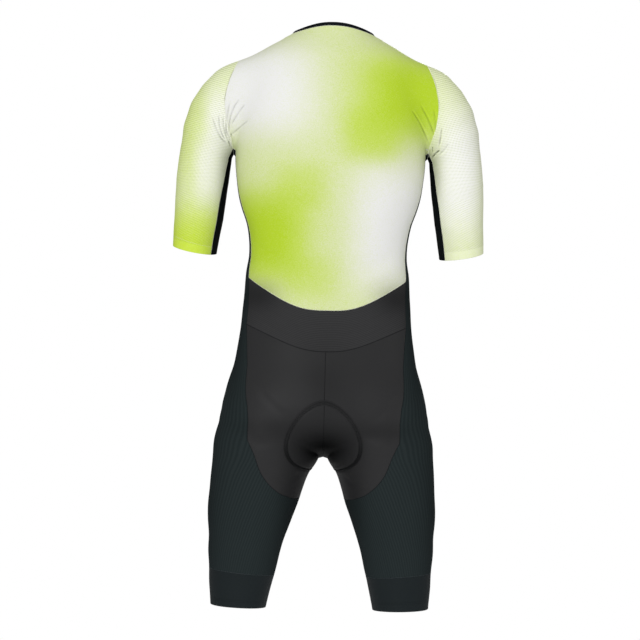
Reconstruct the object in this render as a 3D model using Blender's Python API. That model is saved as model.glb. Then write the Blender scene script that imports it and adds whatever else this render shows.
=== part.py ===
# A one-piece triathlon suit with short sleeves and legs to above the knee, filled out as it is worn.
# Metres, +Z up, front towards -Y. The origin is at shoulder height in the middle of the neck.
# Every panel lies on one smooth form: a trunk, two arms and two legs blended into each other.

import math

import bmesh
import bpy
import numpy as np
from mathutils import Matrix, Vector

WALL = 0.0012
SEAM_GAP = 0.0003
ZIP_SLOT = 0.0064
ZIP_BOTTOM = -0.4535
MERGE = 1e-5
ON_MIDDLE = 1e-6
SLOPE_STEP = 0.0008
SMOOTH_ANGLE = 50.0

# How far rays look for the form from inside the trunk, a limb, the armhole and the crotch
TRUNK_REACH = 0.33
LIMB_REACH = 0.16
ARMHOLE_REACH = 0.12
CROTCH_REACH = 0.15
RAY_SAMPLES = 110
HALVINGS = 20

# Trunk sections from the neck down. Back and front are distances from the plane y = 0.
# height, half width, back, front, squareness
TRUNK = (
    (0.040, 0.062, 0.058, 0.044, 2.0),
    (0.023, 0.065, 0.062, 0.047, 2.0),
    (0.010, 0.068, 0.066, 0.050, 2.0),
    (0.004, 0.0735, 0.069, 0.052, 2.0),
    (0.000, 0.081, 0.071, 0.053, 2.0),
    (-0.007, 0.092, 0.075, 0.056, 2.0),
    (-0.014, 0.105, 0.079, 0.060, 2.0),
    (-0.028, 0.127, 0.087, 0.067, 2.1),
    (-0.041, 0.142, 0.093, 0.073, 2.2),
    (-0.060, 0.152, 0.101, 0.083, 2.3),
    (-0.090, 0.158, 0.111, 0.095, 2.4),
    (-0.120, 0.162, 0.118, 0.104, 2.5),
    (-0.150, 0.164, 0.121, 0.109, 2.5),
    (-0.191, 0.164, 0.121, 0.112, 2.5),
    (-0.215, 0.1635, 0.119, 0.112, 2.5),
    (-0.240, 0.1615, 0.117, 0.111, 2.5),
    (-0.268, 0.158, 0.113, 0.109, 2.5),
    (-0.296, 0.151, 0.108, 0.106, 2.4),
    (-0.323, 0.142, 0.103, 0.103, 2.4),
    (-0.351, 0.137, 0.097, 0.101, 2.4),
    (-0.378, 0.1365, 0.092, 0.100, 2.4),
    (-0.406, 0.1405, 0.088, 0.099, 2.4),
    (-0.447, 0.1435, 0.086, 0.098, 2.3),
    (-0.502, 0.148, 0.090, 0.099, 2.3),
    (-0.557, 0.156, 0.103, 0.100, 2.3),
    (-0.612, 0.169, 0.117, 0.099, 2.3),
    (-0.640, 0.173, 0.120, 0.096, 2.3),
    (-0.667, 0.166, 0.115, 0.090, 2.2),
    (-0.690, 0.120, 0.098, 0.076, 2.0),
    (-0.706, 0.055, 0.070, 0.052, 2.0),
    (-0.714, 0.018, 0.035, 0.024, 2.0),
    (-0.722, 0.001, 0.002, 0.001, 2.0),
)

# Leg sections, of the left leg: height, middle, half width, back, front
LEG = (
    (-0.520, 0.070, 0.020, 0.020, 0.020),
    (-0.560, 0.078, 0.060, 0.070, 0.062),
    (-0.612, 0.085, 0.079, 0.105, 0.088),
    (-0.640, 0.088, 0.084, 0.110, 0.090),
    (-0.667, 0.092, 0.089, 0.112, 0.093),
    (-0.695, 0.096, 0.092, 0.111, 0.094),
    (-0.722, 0.099, 0.091, 0.106, 0.093),
    (-0.750, 0.108, 0.084, 0.100, 0.091),
    (-0.778, 0.114, 0.080, 0.094, 0.089),
    (-0.805, 0.119, 0.077, 0.088, 0.086),
    (-0.832, 0.124, 0.072, 0.082, 0.083),
    (-0.860, 0.128, 0.066, 0.076, 0.079),
    (-0.888, 0.132, 0.062, 0.070, 0.074),
    (-0.915, 0.134, 0.058, 0.064, 0.069),
    (-0.943, 0.137, 0.054, 0.058, 0.065),
    (-0.970, 0.139, 0.050, 0.054, 0.062),
    (-1.000, 0.141, 0.046, 0.050, 0.058),
)

# Middle line of the left arm: across, along y, height, radius
ARM = (
    (0.166, 0.008, -0.101, 0.052),
    (0.181, 0.008, -0.118, 0.053),
    (0.194, 0.007, -0.139, 0.053),
    (0.2045, 0.005, -0.166, 0.0505),
    (0.2145, 0.001, -0.200, 0.0450),
    (0.2200, -0.006, -0.250, 0.0455),
    (0.225, -0.015, -0.310, 0.0425),
    (0.231, -0.024, -0.365, 0.0388),
    (0.236, -0.032, -0.420, 0.0375),
)

# How softly the arm runs into the trunk, by height, and the leg into the seat.
ARM_BLEND = ((-0.200, 0.004), (-0.180, 0.012), (-0.140, 0.030), (-0.060, 0.045))
LEG_BLEND = 0.016
TRUNK_BOTTOM = -0.716
LEG_TOP = -0.540
LEG_SQUARENESS = 2.1

# The rings that are seams or edges, with the heights where each crosses the back, side and front.
# The dip says how long a ring stays level before it climbs to the side.
# name, back, side, front, dip, rings to the next one
SEAM_RINGS = (
    ("neck edge", 0.023, 0.009, -0.022, 2.4, 1),
    ("collar seam", 0.0165, 0.004, -0.030, 2.4, 5),
    ("armhole top", -0.082, -0.046, -0.095, 2.4, 7),
    ("underarm", -0.225, -0.191, -0.228, 2.4, 10),
    ("print hem", -0.473, -0.4134, -0.455, 3.4, 3),
    ("waistband hem", -0.5435, -0.491, -0.522, 2.6, 6),
    ("crotch", -0.695, -0.600, -0.688, 2.4, 0),
)
ARMHOLE_DIP = 2.4

# Above the armhole the columns part at the yoke turn. Turns are degrees from the centre back.
YOKE_TURN = 63.0
YOKE_BOTTOM = -0.180

# Where the seam behind the side panel stands.
# height, turn
SIDE_SEAM = (
    (-0.180, 84.0),
    (-0.308, 77.5),
    (-0.411, 74.0),
    (-0.494, 75.0),
    (-0.550, 67.5),
    (-0.600, 56.5),
)

BACK_COLUMNS = 7
SIDE_COLUMNS = 6
CROTCH_COLUMNS = 6
TRUNK_COLUMNS = 2 * BACK_COLUMNS + SIDE_COLUMNS
LEG_COLUMNS = TRUNK_COLUMNS + CROTCH_COLUMNS

# The armhole seam leans out over the shoulder: height, distance from the middle
ARMHOLE_LEAN = (
    (-0.230, 0.1670),
    (-0.191, 0.1685),
    (-0.150, 0.1795),
    (-0.118, 0.1825),
    (-0.086, 0.1775),
    (-0.046, 0.1625),
    (-0.020, 0.150),
)
ARMHOLE_MIDDLE = (0.006, -0.118)
ARMHOLE_TOP_ARC = 40.0
ARMHOLE_STRIP_ARC = 20.0

SLEEVE_RINGS = 13
SLEEVE_START = 0.176
SLEEVE_BOW = (0.03, 0.01, 0.0)
SLEEVE_HEM = (0.2320, -0.025, -0.369)
SLEEVE_HEM_AXIS = (0.17, -0.17, -1.0)
HEM_STRIP_ARC = 43.0

# The seat panel's lower edge round the thigh. Turn is from the inner side of the leg, by the back.
# turn, height
SEAT_EDGE = (
    (0.0, -0.793),
    (45.0, -0.790),
    (65.0, -0.780),
    (81.0, -0.761),
    (96.0, -0.731),
    (109.0, -0.692),
    (180.0, -0.690),
)
SEAT_EDGE_TURN = 109.0

# The crotch columns fan out from a point above the crotch
CROTCH_PIVOT = (0.0, 0.008, -0.640)
LEG_RAY_TOP = -0.660

SEAT_RINGS = 4
THIGH_RINGS = 8
BAND_RINGS = 3
BAND_SEAM = -0.922
BAND_SEAM_TILT = 0.0055
LEG_HEM = -0.982
LEG_HEM_TILT = 0.002

# The largest creases, pressed into the cloth and fading from the first end to the second:
# two ends, half width, depth
CREASE_FADE = 0.6
FOLDS = (
    ((0.150, 0.110, -0.215), (0.105, 0.125, -0.120), 0.013, 0.0022),
    ((0.140, 0.105, -0.245), (0.070, 0.120, -0.190), 0.015, 0.0020),
    ((-0.150, 0.110, -0.212), (-0.112, 0.125, -0.105), 0.014, 0.0022),
    ((-0.142, 0.105, -0.240), (-0.080, 0.120, -0.200), 0.013, 0.0018),
    ((0.185, 0.045, -0.180), (0.235, 0.040, -0.120), 0.012, 0.0018),
    ((-0.185, 0.045, -0.178), (-0.238, 0.040, -0.130), 0.013, 0.0018),
    ((0.150, -0.090, -0.200), (0.085, -0.110, -0.130), 0.014, 0.0020),
    ((-0.150, -0.090, -0.205), (-0.080, -0.110, -0.140), 0.014, 0.0020),
    ((0.120, 0.070, -0.385), (0.050, 0.090, -0.420), 0.014, 0.0018),
    ((-0.120, 0.070, -0.375), (-0.045, 0.090, -0.405), 0.015, 0.0018),
    ((0.060, -0.090, -0.640), (0.120, -0.080, -0.600), 0.014, 0.0018),
    ((-0.055, -0.090, -0.645), (-0.115, -0.080, -0.608), 0.013, 0.0018),
)

# The pad's outline along the middle line from the back, under the crotch, to the front:
# share of the way, half width
PAD_WIDTH = (
    (0.00, 0.016),
    (0.10, 0.040),
    (0.30, 0.062),
    (0.50, 0.052),
    (0.70, 0.040),
    (0.90, 0.034),
    (1.00, 0.018),
)
PAD_TOP_BACK = -0.630
PAD_TOP_FRONT = -0.650
PAD_THICKNESS = 0.003
PAD_SNAP = 0.0015

# Profile of the closed zip, looking down it: across, out from the cloth's outer face
TAPE_HALF_WIDTH = 0.007
TAPE_THICKNESS = 0.001
COIL_HALF_WIDTH = 0.002
COIL_TOP = 0.0006
TAPE_TOP = -(WALL + SEAM_GAP)
ZIP_PROFILE = (
    (-TAPE_HALF_WIDTH, TAPE_TOP - TAPE_THICKNESS),
    (TAPE_HALF_WIDTH, TAPE_TOP - TAPE_THICKNESS),
    (TAPE_HALF_WIDTH, TAPE_TOP),
    (COIL_HALF_WIDTH, TAPE_TOP),
    (COIL_HALF_WIDTH, COIL_TOP),
    (-COIL_HALF_WIDTH, COIL_TOP),
    (-COIL_HALF_WIDTH, TAPE_TOP),
    (-TAPE_HALF_WIDTH, TAPE_TOP),
)
ZIP_STEP = 0.016

# The slider and its pull, in the slider's own axes: x across, y up the zip, z out of the cloth
SLIDER_HEIGHT = -0.046
PLATE_LOW = (-0.0042, -0.0052, 0.0009)
PLATE_HIGH = (0.0042, 0.0052, 0.0025)
PLATE_BEVEL = 0.0004
BRIDGE_HALF_WIDTH = 0.0009
BRIDGE_INSIDE = 0.0022
BRIDGE_POST = 0.0014
BRIDGE_UNDER = 0.0045
BRIDGE_TOP = 0.0057
JOIN_OVERLAP = 0.0006
PIVOT_OUT = 0.0035
BAR_RADIUS = 0.0007
EYE_HALF_WIDTH = 0.0014
EYE_LENGTH = 0.0050
PULL_HALF_WIDTH = 0.0028
PULL_LENGTH = 0.0250
PULL_THICKNESS = 0.0012

# Colours as linear RGB
PRINT_LIME = (0.62, 0.80, 0.20, 1)
BLACK = (0.012, 0.014, 0.015, 1)
CHARCOAL = (0.028, 0.027, 0.028, 1)
PAD_GREY = (0.05, 0.05, 0.055, 1)
GUNMETAL = (0.09, 0.09, 0.10, 1)


def clear_scene():
    for thing in list(bpy.data.objects):
        bpy.data.objects.remove(thing, do_unlink=True)


def material(name, colour, roughness, metallic=0.0):
    finish = bpy.data.materials.new(name)
    finish.use_nodes = True
    shader = finish.node_tree.nodes["Principled BSDF"]
    shader.inputs["Base Color"].default_value = colour
    shader.inputs["Roughness"].default_value = roughness
    shader.inputs["Metallic"].default_value = metallic
    return finish


def smooth_table(table):
    """A smooth curve through a table's rows, read by the first column."""
    rows = np.array(sorted(table))
    stations = rows[:, 0]
    values = rows[:, 1:]
    slopes = np.gradient(values, stations, axis=0)

    def read(place):
        place = np.clip(place, stations[0], stations[-1])
        row = np.clip(np.searchsorted(stations, place) - 1, 0, len(stations) - 2)
        step = (stations[row + 1] - stations[row])[:, None]
        t = (place - stations[row])[:, None] / step
        start = (2 * t**3 - 3 * t**2 + 1) * values[row]
        start_slope = (t**3 - 2 * t**2 + t) * step * slopes[row]
        end = (3 * t**2 - 2 * t**3) * values[row + 1]
        end_slope = (t**3 - t**2) * step * slopes[row + 1]
        return (start + start_slope + end + end_slope).T

    return read


trunk_at = smooth_table(TRUNK)
leg_at = smooth_table(LEG)
seam_turn_at = smooth_table(SIDE_SEAM)
armhole_lean_at = smooth_table(ARMHOLE_LEAN)
seat_edge_at = smooth_table(SEAT_EDGE)
pad_width_at = smooth_table(PAD_WIDTH)


def section_distance(across, along, half_width, half_depth, squareness):
    """Distance outside one level section, measured level and straight out from its middle."""
    across = np.abs(across) + 1e-9
    along = np.abs(along) + 1e-9
    reach = (across / half_width) ** squareness + (along / half_depth) ** squareness
    reach = reach ** (1 / squareness)
    distance = np.hypot(across, along)
    return distance - distance / reach


def arm_distance(points):
    """Distance outside the round arm that follows the ARM line."""
    line = np.array(ARM)
    nearest = np.full(len(points), 9.0)
    for start, end in zip(line[:-1], line[1:]):
        run = end[:3] - start[:3]
        t = np.clip((points - start[:3]) @ run / (run @ run), 0, 1)
        radius = start[3] + (end[3] - start[3]) * t
        gap = np.linalg.norm(points - start[:3] - t[:, None] * run, axis=1) - radius
        nearest = np.minimum(nearest, gap)
    return nearest


def blended(first, second, softness):
    """The nearer of two distances, rounded off where they are alike."""
    overlap = np.maximum(softness - np.abs(first - second), 0) / softness
    return np.minimum(first, second) - overlap**2 * softness / 4


def form(points):
    """Distance outside the filled-out form: zero on the cloth's outer face."""
    folded = np.abs(points[:, 0])
    along, height = points[:, 1], points[:, 2]
    half_width, back, front, squareness = trunk_at(height)
    trunk = section_distance(
        folded, along - (back - front) / 2, half_width, (back + front) / 2, squareness
    )
    trunk += np.maximum(TRUNK_BOTTOM - height, 0)
    middle, half_width, back, front = leg_at(height)
    leg = section_distance(
        folded - middle,
        along - (back - front) / 2,
        half_width,
        (back + front) / 2,
        LEG_SQUARENESS,
    )
    leg += np.maximum(height - LEG_TOP, 0)
    arm = arm_distance(np.column_stack([folded, along, height]))
    blend_heights, blend_sizes = np.array(ARM_BLEND).T
    softness = np.interp(height, blend_heights, blend_sizes)
    return blended(blended(trunk, arm, softness), leg, LEG_BLEND)


def outward(points):
    """Unit directions straight out of the form."""
    slope = np.empty_like(points)
    for axis in range(3):
        shift = np.zeros(3)
        shift[axis] = SLOPE_STEP
        slope[:, axis] = form(points + shift) - form(points - shift)
    return slope / np.maximum(np.linalg.norm(slope, axis=1), 1e-12)[:, None]


def onto_form(points):
    """Moves points straight in or out, in a few rounds, until they lie on the form."""
    for _ in range(6):
        direction = outward(points)
        here = form(points)
        slope = (form(points + SLOPE_STEP * direction) - here) / SLOPE_STEP
        points = points - direction * (here / slope)[:, None]
    return points


def ray_hit(starts, directions, reach=TRUNK_REACH):
    """Where rays that start inside first leave the form."""
    directions = directions / np.linalg.norm(directions, axis=1)[:, None]
    near = np.zeros(len(starts))
    far = np.full(len(starts), reach)
    found = np.zeros(len(starts), bool)
    for distance in np.linspace(0, reach, RAY_SAMPLES):
        outside = form(starts + distance * directions) > 0
        far = np.where(outside & ~found, distance, far)
        near = np.where(~outside & ~found, distance, near)
        found |= outside
    for _ in range(HALVINGS):
        middle = (near + far) / 2
        outside = form(starts + middle[:, None] * directions) > 0
        far = np.where(outside, middle, far)
        near = np.where(outside, near, middle)
    return starts + near[:, None] * directions


def fold_depth(points):
    """How far the largest creases press the cloth in at each point."""
    depth = np.zeros(len(points))
    for start, end, half_width, deepest in FOLDS:
        start, end = np.array(start), np.array(end)
        run = end - start
        t = np.clip((points - start) @ run / (run @ run), 0, 1)
        gap = np.linalg.norm(points - start - t[:, None] * run, axis=1)
        depth += deepest * np.exp(-((gap / half_width) ** 2)) * (1 - CREASE_FADE * t)
    return depth


def trunk_middle(height):
    half_width, back, front, squareness = trunk_at(height)
    return (back - front) / 2


def armhole_loop():
    """Turns round the armhole seam and its points, from the back of the top arc forward and down."""
    side = 180 - ARMHOLE_TOP_ARC - ARMHOLE_STRIP_ARC
    down = armhole_rings()
    arcs = (
        (2 * ARMHOLE_TOP_ARC, SIDE_COLUMNS),
        (side, down),
        (2 * ARMHOLE_STRIP_ARC, SIDE_COLUMNS),
        (side, down),
    )
    turns = [-ARMHOLE_TOP_ARC]
    for arc, steps in arcs:
        turns += [turns[-1] + arc / steps * (step + 1) for step in range(steps)]
    angles = np.radians(turns[:-1])
    near = np.zeros(len(angles))
    far = np.full(len(angles), ARMHOLE_REACH)
    middle_y, middle_z = ARMHOLE_MIDDLE

    def place(radius):
        along = middle_y - radius * np.sin(angles)
        height = middle_z + radius * np.cos(angles)
        return np.column_stack([armhole_lean_at(height)[0], along, height])

    for _ in range(HALVINGS):
        middle = (near + far) / 2
        outside = form(place(middle)) > 0
        far = np.where(outside, middle, far)
        near = np.where(outside, near, middle)
    return place(near)


def armhole_rings():
    return [ring[-1] for ring in SEAM_RINGS if ring[0] == "armhole top"][0]


def ring_heights(back, side, front, dip, turns):
    """Heights of one ring at each turn from the centre back, in radians."""
    lift = np.abs(np.sin(turns)) ** dip
    middle = np.where(turns < math.pi / 2, back, front)
    return middle + (side - middle) * lift


def column_turns(seam_turn):
    """Turns of the trunk's columns, from the centre back to the centre front."""
    back = np.linspace(0, seam_turn, BACK_COLUMNS + 1)
    side = np.linspace(seam_turn, math.pi - seam_turn, SIDE_COLUMNS + 1)
    front = np.linspace(math.pi - seam_turn, math.pi, BACK_COLUMNS + 1)
    return np.concatenate([back, side[1:], front[1:]])


def trunk_points():
    """Points of the trunk by ring and column. Inside the armhole they are left at the seam."""
    loop = armhole_loop()
    down = armhole_rings()
    first, last = BACK_COLUMNS, BACK_COLUMNS + SIDE_COLUMNS
    top_arc = loop[: SIDE_COLUMNS + 1]
    front_side = loop[SIDE_COLUMNS : SIDE_COLUMNS + down + 1]
    bottom_arc = loop[SIDE_COLUMNS + down : 2 * SIDE_COLUMNS + down + 1][::-1]
    back_side = np.vstack([loop[2 * SIDE_COLUMNS + down :], loop[:1]])[::-1]

    def turns_of(points):
        return np.arctan2(points[:, 0], points[:, 1] - trunk_middle(points[:, 2]))

    def spread(back_end, front_end, middle_turns):
        return np.concatenate(
            [
                np.linspace(0, back_end, BACK_COLUMNS + 1)[:-1],
                middle_turns,
                np.linspace(front_end, math.pi, BACK_COLUMNS + 1)[1:],
            ]
        )

    def seam_ring(name, back, side, front, dip):
        """The turns and heights of a named ring."""
        arc = {"armhole top": top_arc, "underarm": bottom_arc}.get(name)
        if arc is None:
            seam = YOKE_TURN
            if side < YOKE_BOTTOM:
                seam = seam_turn_at(np.array([(back + side) / 2]))[0][0]
            turns = column_turns(math.radians(seam))
            return turns, ring_heights(back, side, front, dip, turns)
        turns = spread(turns_of(arc)[0], turns_of(arc)[-1], turns_of(arc))
        heights = ring_heights(back, side, front, dip, turns)
        heights[first : last + 1] = arc[:, 2]
        heights[:first] = eased(back, arc[0, 2], first + 1)[:-1]
        heights[last + 1 :] = eased(front, arc[-1, 2], first + 1)[::-1][1:]
        return turns, heights

    rings = []
    pinned = {}
    for (name, *levels, steps), below in zip(SEAM_RINGS[:-1], SEAM_RINGS[1:]):
        upper = seam_ring(name, *levels)
        lower = seam_ring(below[0], *below[1:5])
        for step in range(steps):
            share = step / steps
            turns = upper[0] * (1 - share) + lower[0] * share
            heights = upper[1] * (1 - share) + lower[1] * share
            if name == "armhole top":
                back_point, front_point = back_side[step], front_side[step]
                back_turn = turns_of(back_point[None])[0]
                front_turn = turns_of(front_point[None])[0]
                hole = np.linspace(back_turn, front_turn, SIDE_COLUMNS + 1)
                turns = spread(back_turn, front_turn, hole)
                back_level = levels[0] * (1 - share) + below[1] * share
                front_level = levels[2] * (1 - share) + below[3] * share
                heights[: first + 1] = eased(back_level, back_point[2], first + 1)
                heights[last:] = eased(front_level, front_point[2], first + 1)[::-1]
                pinned[len(rings), first] = back_point
                pinned[len(rings), last] = front_point
                if step == 0:
                    for column in range(SIDE_COLUMNS + 1):
                        pinned[len(rings), first + column] = top_arc[column]
                    turns, heights = upper
            elif name == "underarm" and step == 0:
                for column in range(SIDE_COLUMNS + 1):
                    pinned[len(rings), first + column] = bottom_arc[column]
            rings.append((turns, heights))
    rings.append(lower)
    turns = np.array([ring[0] for ring in rings])
    heights = np.array([ring[1] for ring in rings])
    starts = np.stack([0 * turns, trunk_middle(heights.ravel()).reshape(turns.shape), heights], -1)
    directions = np.stack([np.sin(turns), np.cos(turns), 0 * turns], -1)
    points = ray_hit(starts.reshape(-1, 3), directions.reshape(-1, 3)).reshape(starts.shape)
    for (ring, column), point in pinned.items():
        points[ring, column] = point
    points[:, 0, 0] = 0
    points[:, -1, 0] = 0
    return points


def eased(centre, end, count):
    """Values from the centre line out to a seam, level where they leave the centre line."""
    share = np.sin(np.linspace(0, math.pi / 2, count)) ** ARMHOLE_DIP
    return centre + (end - centre) * share


def sleeve_points():
    """Points of the left sleeve by ring and column, from the armhole seam to the hem."""
    loop = armhole_loop()
    down = armhole_rings()
    hem_side = (360 - 2 * HEM_STRIP_ARC) / (SIDE_COLUMNS + 2 * down)
    turns = [-hem_side * SIDE_COLUMNS / 2]
    steps = [hem_side] * (SIDE_COLUMNS + down)
    steps += [2 * HEM_STRIP_ARC / SIDE_COLUMNS] * SIDE_COLUMNS + [hem_side] * (down - 1)
    for step in steps:
        turns.append(turns[-1] + step)
    turns = np.radians(turns)
    axis = np.array(SLEEVE_HEM_AXIS) / np.linalg.norm(SLEEVE_HEM_AXIS)
    front = np.array((0, -1.0, 0)) - axis * -axis[1]
    front /= np.linalg.norm(front)
    outer = np.cross(axis, front)
    outer *= np.sign(outer[0])
    hem_directions = np.cos(turns)[:, None] * outer + np.sin(turns)[:, None] * front
    middle = np.array((SLEEVE_START, *ARMHOLE_MIDDLE))
    first_directions = loop - middle
    first_directions /= np.linalg.norm(first_directions, axis=1)[:, None]
    starts, directions = [], []
    for ring in range(1, SLEEVE_RINGS + 1):
        share = ring / SLEEVE_RINGS
        bow = share * (1 - share) * np.array(SLEEVE_BOW)
        centre = middle + (np.array(SLEEVE_HEM) - middle) * share + bow
        directions.append(first_directions * (1 - share) + hem_directions * share)
        starts.append(np.tile(centre, (len(loop), 1)))
    points = ray_hit(np.concatenate(starts), np.concatenate(directions), reach=LIMB_REACH)
    points = np.concatenate([loop, points]).reshape(SLEEVE_RINGS + 1, len(loop), 3)
    return np.concatenate([points, points[:, :1]], axis=1)


def leg_frame(height):
    middle, half_width, back, front = leg_at(height)
    return middle, (back - front) / 2


def leg_points(trunk):
    """Points of the left leg by ring and column: down the outside, then the crotch columns."""
    crotch_ring = trunk[-1]
    pivot = np.array(CROTCH_PIVOT)
    start_turn = math.atan2(crotch_ring[0, 1] - pivot[1], pivot[2] - crotch_ring[0, 2])
    end_turn = math.atan2(crotch_ring[-1, 1] - pivot[1], pivot[2] - crotch_ring[-1, 2])
    turns = np.linspace(end_turn, start_turn, CROTCH_COLUMNS + 1)[1:-1]
    rays = np.column_stack([0 * turns, np.sin(turns), -np.cos(turns)])
    crotch_line = ray_hit(np.tile(pivot, (len(turns), 1)), rays, reach=CROTCH_REACH)
    top = np.concatenate([crotch_ring, crotch_line])
    top_middle = np.column_stack(leg_frame(np.minimum(top[:, 2], LEG_RAY_TOP)))
    top_turns = leg_turn(top[:, :2] - top_middle)

    seat_step = SEAT_EDGE_TURN / (BACK_COLUMNS + CROTCH_COLUMNS / 2)
    outer_step = (360 - 2 * SEAT_EDGE_TURN) / SIDE_COLUMNS
    steps = [seat_step] * BACK_COLUMNS + [outer_step] * SIDE_COLUMNS
    steps += [seat_step] * (BACK_COLUMNS + CROTCH_COLUMNS - 1)
    seat_turns = np.radians(seat_step * CROTCH_COLUMNS / 2 + np.concatenate([[0], np.cumsum(steps)]))
    even = 2 * math.pi / LEG_COLUMNS
    low_turns = even * (CROTCH_COLUMNS / 2 + np.arange(LEG_COLUMNS))
    from_inner = np.degrees(np.abs((seat_turns + math.pi) % (2 * math.pi) - math.pi))
    seat_heights = seat_edge_at(from_inner)[0]

    levels = [(top_turns, top[:, 2], seat_turns, seat_heights, SEAT_RINGS)]
    band = BAND_SEAM - BAND_SEAM_TILT * np.cos(low_turns)
    hem = LEG_HEM - LEG_HEM_TILT * np.cos(low_turns)
    levels.append((seat_turns, seat_heights, low_turns, band, THIGH_RINGS))
    levels.append((low_turns, band, low_turns, hem, BAND_RINGS))
    starts, directions = [], []
    for upper_turns, upper, lower_turns, lower, rings in levels:
        for ring in range(1, rings + 1):
            share = ring / rings
            turns = upper_turns * (1 - share) + lower_turns * share
            heights = upper * (1 - share) + lower * share
            middle_x, middle_y = leg_frame(np.minimum(heights, LEG_RAY_TOP))
            starts.append(np.column_stack([middle_x, middle_y, heights]))
            directions.append(np.column_stack([-np.cos(turns), np.sin(turns), 0 * turns]))
    points = ray_hit(np.concatenate(starts), np.concatenate(directions), reach=LIMB_REACH)
    points = np.concatenate([top, points]).reshape(-1, LEG_COLUMNS, 3)
    return np.concatenate([points, points[:, :1]], axis=1)


def leg_turn(offsets):
    """Turns from the inner side of the leg, round by the back, in radians and growing."""
    return np.unwrap(np.arctan2(offsets[:, 1], -offsets[:, 0]))


def place_grid(suit, points, panel_of):
    """Adds a grid to the suit's mesh, sets its points and marks each face with its panel."""
    rings, columns = points.shape[0] - 1, points.shape[1] - 1
    made = bmesh.ops.create_grid(suit, x_segments=columns, y_segments=rings, size=1)
    verts = made["verts"]
    place = {}
    for vert in verts:
        column = round((vert.co.x + 1) / 2 * columns)
        ring = round((1 - vert.co.y) / 2 * rings)
        place[vert] = (ring, column)
    panel = suit.faces.layers.int["panel"]
    for face in {face for vert in verts for face in vert.link_faces}:
        ring = min(place[vert][0] for vert in face.verts)
        column = min(place[vert][1] for vert in face.verts)
        face[panel] = panel_of(ring, column)
    for vert in verts:
        vert.co = Vector(points[place[vert]])


PANELS = (
    "hole",
    "collar",
    "back_panel",
    "front",
    "waistband",
    "seat",
    "front_lower",
    "side_panel",
    "thigh",
    "leg_band",
    "sleeve",
    "underarm",
)


def half_suit():
    """The left half of the form as one mesh of quads, each marked with its panel."""
    suit = bmesh.new()
    suit.faces.layers.int.new("panel")
    starts = np.cumsum([0] + [ring[-1] for ring in SEAM_RINGS])
    yoke, hole, body, band, lower = starts[1:6]
    side_start, side_end = BACK_COLUMNS, BACK_COLUMNS + SIDE_COLUMNS

    def on_trunk(ring, column):
        in_side = side_start <= column < side_end
        if ring < yoke:
            return PANELS.index("collar")
        if ring < hole:
            return PANELS.index("back_panel" if column < TRUNK_COLUMNS / 2 else "front")
        if in_side:
            return PANELS.index("hole" if ring < body else "side_panel")
        if ring < band:
            return PANELS.index("back_panel" if column < side_start else "front")
        if column >= side_end:
            return PANELS.index("front_lower")
        return PANELS.index("waistband" if ring < lower else "seat")

    def on_leg(ring, column):
        if ring >= SEAT_RINGS + THIGH_RINGS:
            return PANELS.index("leg_band")
        if ring >= SEAT_RINGS:
            return PANELS.index("thigh")
        if side_start <= column < side_end:
            return PANELS.index("side_panel")
        crotch_middle = TRUNK_COLUMNS + CROTCH_COLUMNS / 2
        at_front = side_end <= column < crotch_middle
        return PANELS.index("front_lower" if at_front else "seat")

    def on_sleeve(ring, column):
        strip = SIDE_COLUMNS + armhole_rings()
        in_strip = strip <= column < strip + SIDE_COLUMNS
        return PANELS.index("underarm" if in_strip else "sleeve")

    trunk = trunk_points()
    place_grid(suit, trunk, on_trunk)
    place_grid(suit, leg_points(trunk), on_leg)
    place_grid(suit, sleeve_points(), on_sleeve)
    panel = suit.faces.layers.int["panel"]
    inside_hole = [face for face in suit.faces if face[panel] == PANELS.index("hole")]
    bmesh.ops.delete(suit, geom=inside_hole, context="FACES")
    bmesh.ops.remove_doubles(suit, verts=suit.verts, dist=MERGE)
    bmesh.ops.triangulate(suit, faces=suit.faces, quad_method="SHORT_EDGE")
    note_outward(suit)
    return suit


def note_outward(suit):
    """Keeps at each point the way out of the cloth, which neighbouring panels share."""
    bmesh.ops.recalc_face_normals(suit, faces=suit.faces)
    face_outward(suit)
    suit.normal_update()
    out = suit.verts.layers.float_vector.new("out")
    for vert in suit.verts:
        normal = vert.normal.copy()
        if abs(vert.co.x) < ON_MIDDLE:
            normal.x = 0
        vert[out] = normal.normalized()


def positions(mesh):
    return np.array([vert.co for vert in mesh.verts])


def set_positions(verts, points):
    for vert, point in zip(verts, points):
        vert.co = Vector(point)


def panel_mesh(suit, name):
    """A copy of one panel's outer faces."""
    mesh = suit.copy()
    panel = mesh.faces.layers.int["panel"]
    others = [face for face in mesh.faces if face[panel] != PANELS.index(name)]
    bmesh.ops.delete(mesh, geom=others, context="FACES")
    return mesh


def open_at_zip(mesh):
    """Draws the centre front edge back to leave the zip's slot."""
    edge = [vert for vert in mesh.verts if abs(vert.co.x) < ON_MIDDLE and vert.co.y < 0]
    places = np.array([(ZIP_SLOT / 2 - SEAM_GAP / 2, vert.co.y, vert.co.z) for vert in edge])
    set_positions(edge, onto_form(places))


def join_mirror(mesh):
    """Adds the right half and joins it to the left along the middle."""
    whole = mesh.verts[:] + mesh.edges[:] + mesh.faces[:]
    bmesh.ops.mirror(mesh, geom=whole, axis="X", merge_dist=MERGE)
    bmesh.ops.recalc_face_normals(mesh, faces=mesh.faces)
    face_outward(mesh)
    turn_outward_marks(mesh)


def turn_over(mesh):
    """Turns the left piece into the right one."""
    bmesh.ops.transform(mesh, matrix=Matrix.Scale(-1, 4, (1, 0, 0)), verts=mesh.verts)
    bmesh.ops.reverse_faces(mesh, faces=mesh.faces)
    turn_outward_marks(mesh)


def turn_outward_marks(mesh):
    """Mirrors the kept directions of the points on the right."""
    out = mesh.verts.layers.float_vector["out"]
    for vert in mesh.verts:
        if vert.co.x < -ON_MIDDLE:
            vert[out] = Vector((-vert[out].x, vert[out].y, vert[out].z))


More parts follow.
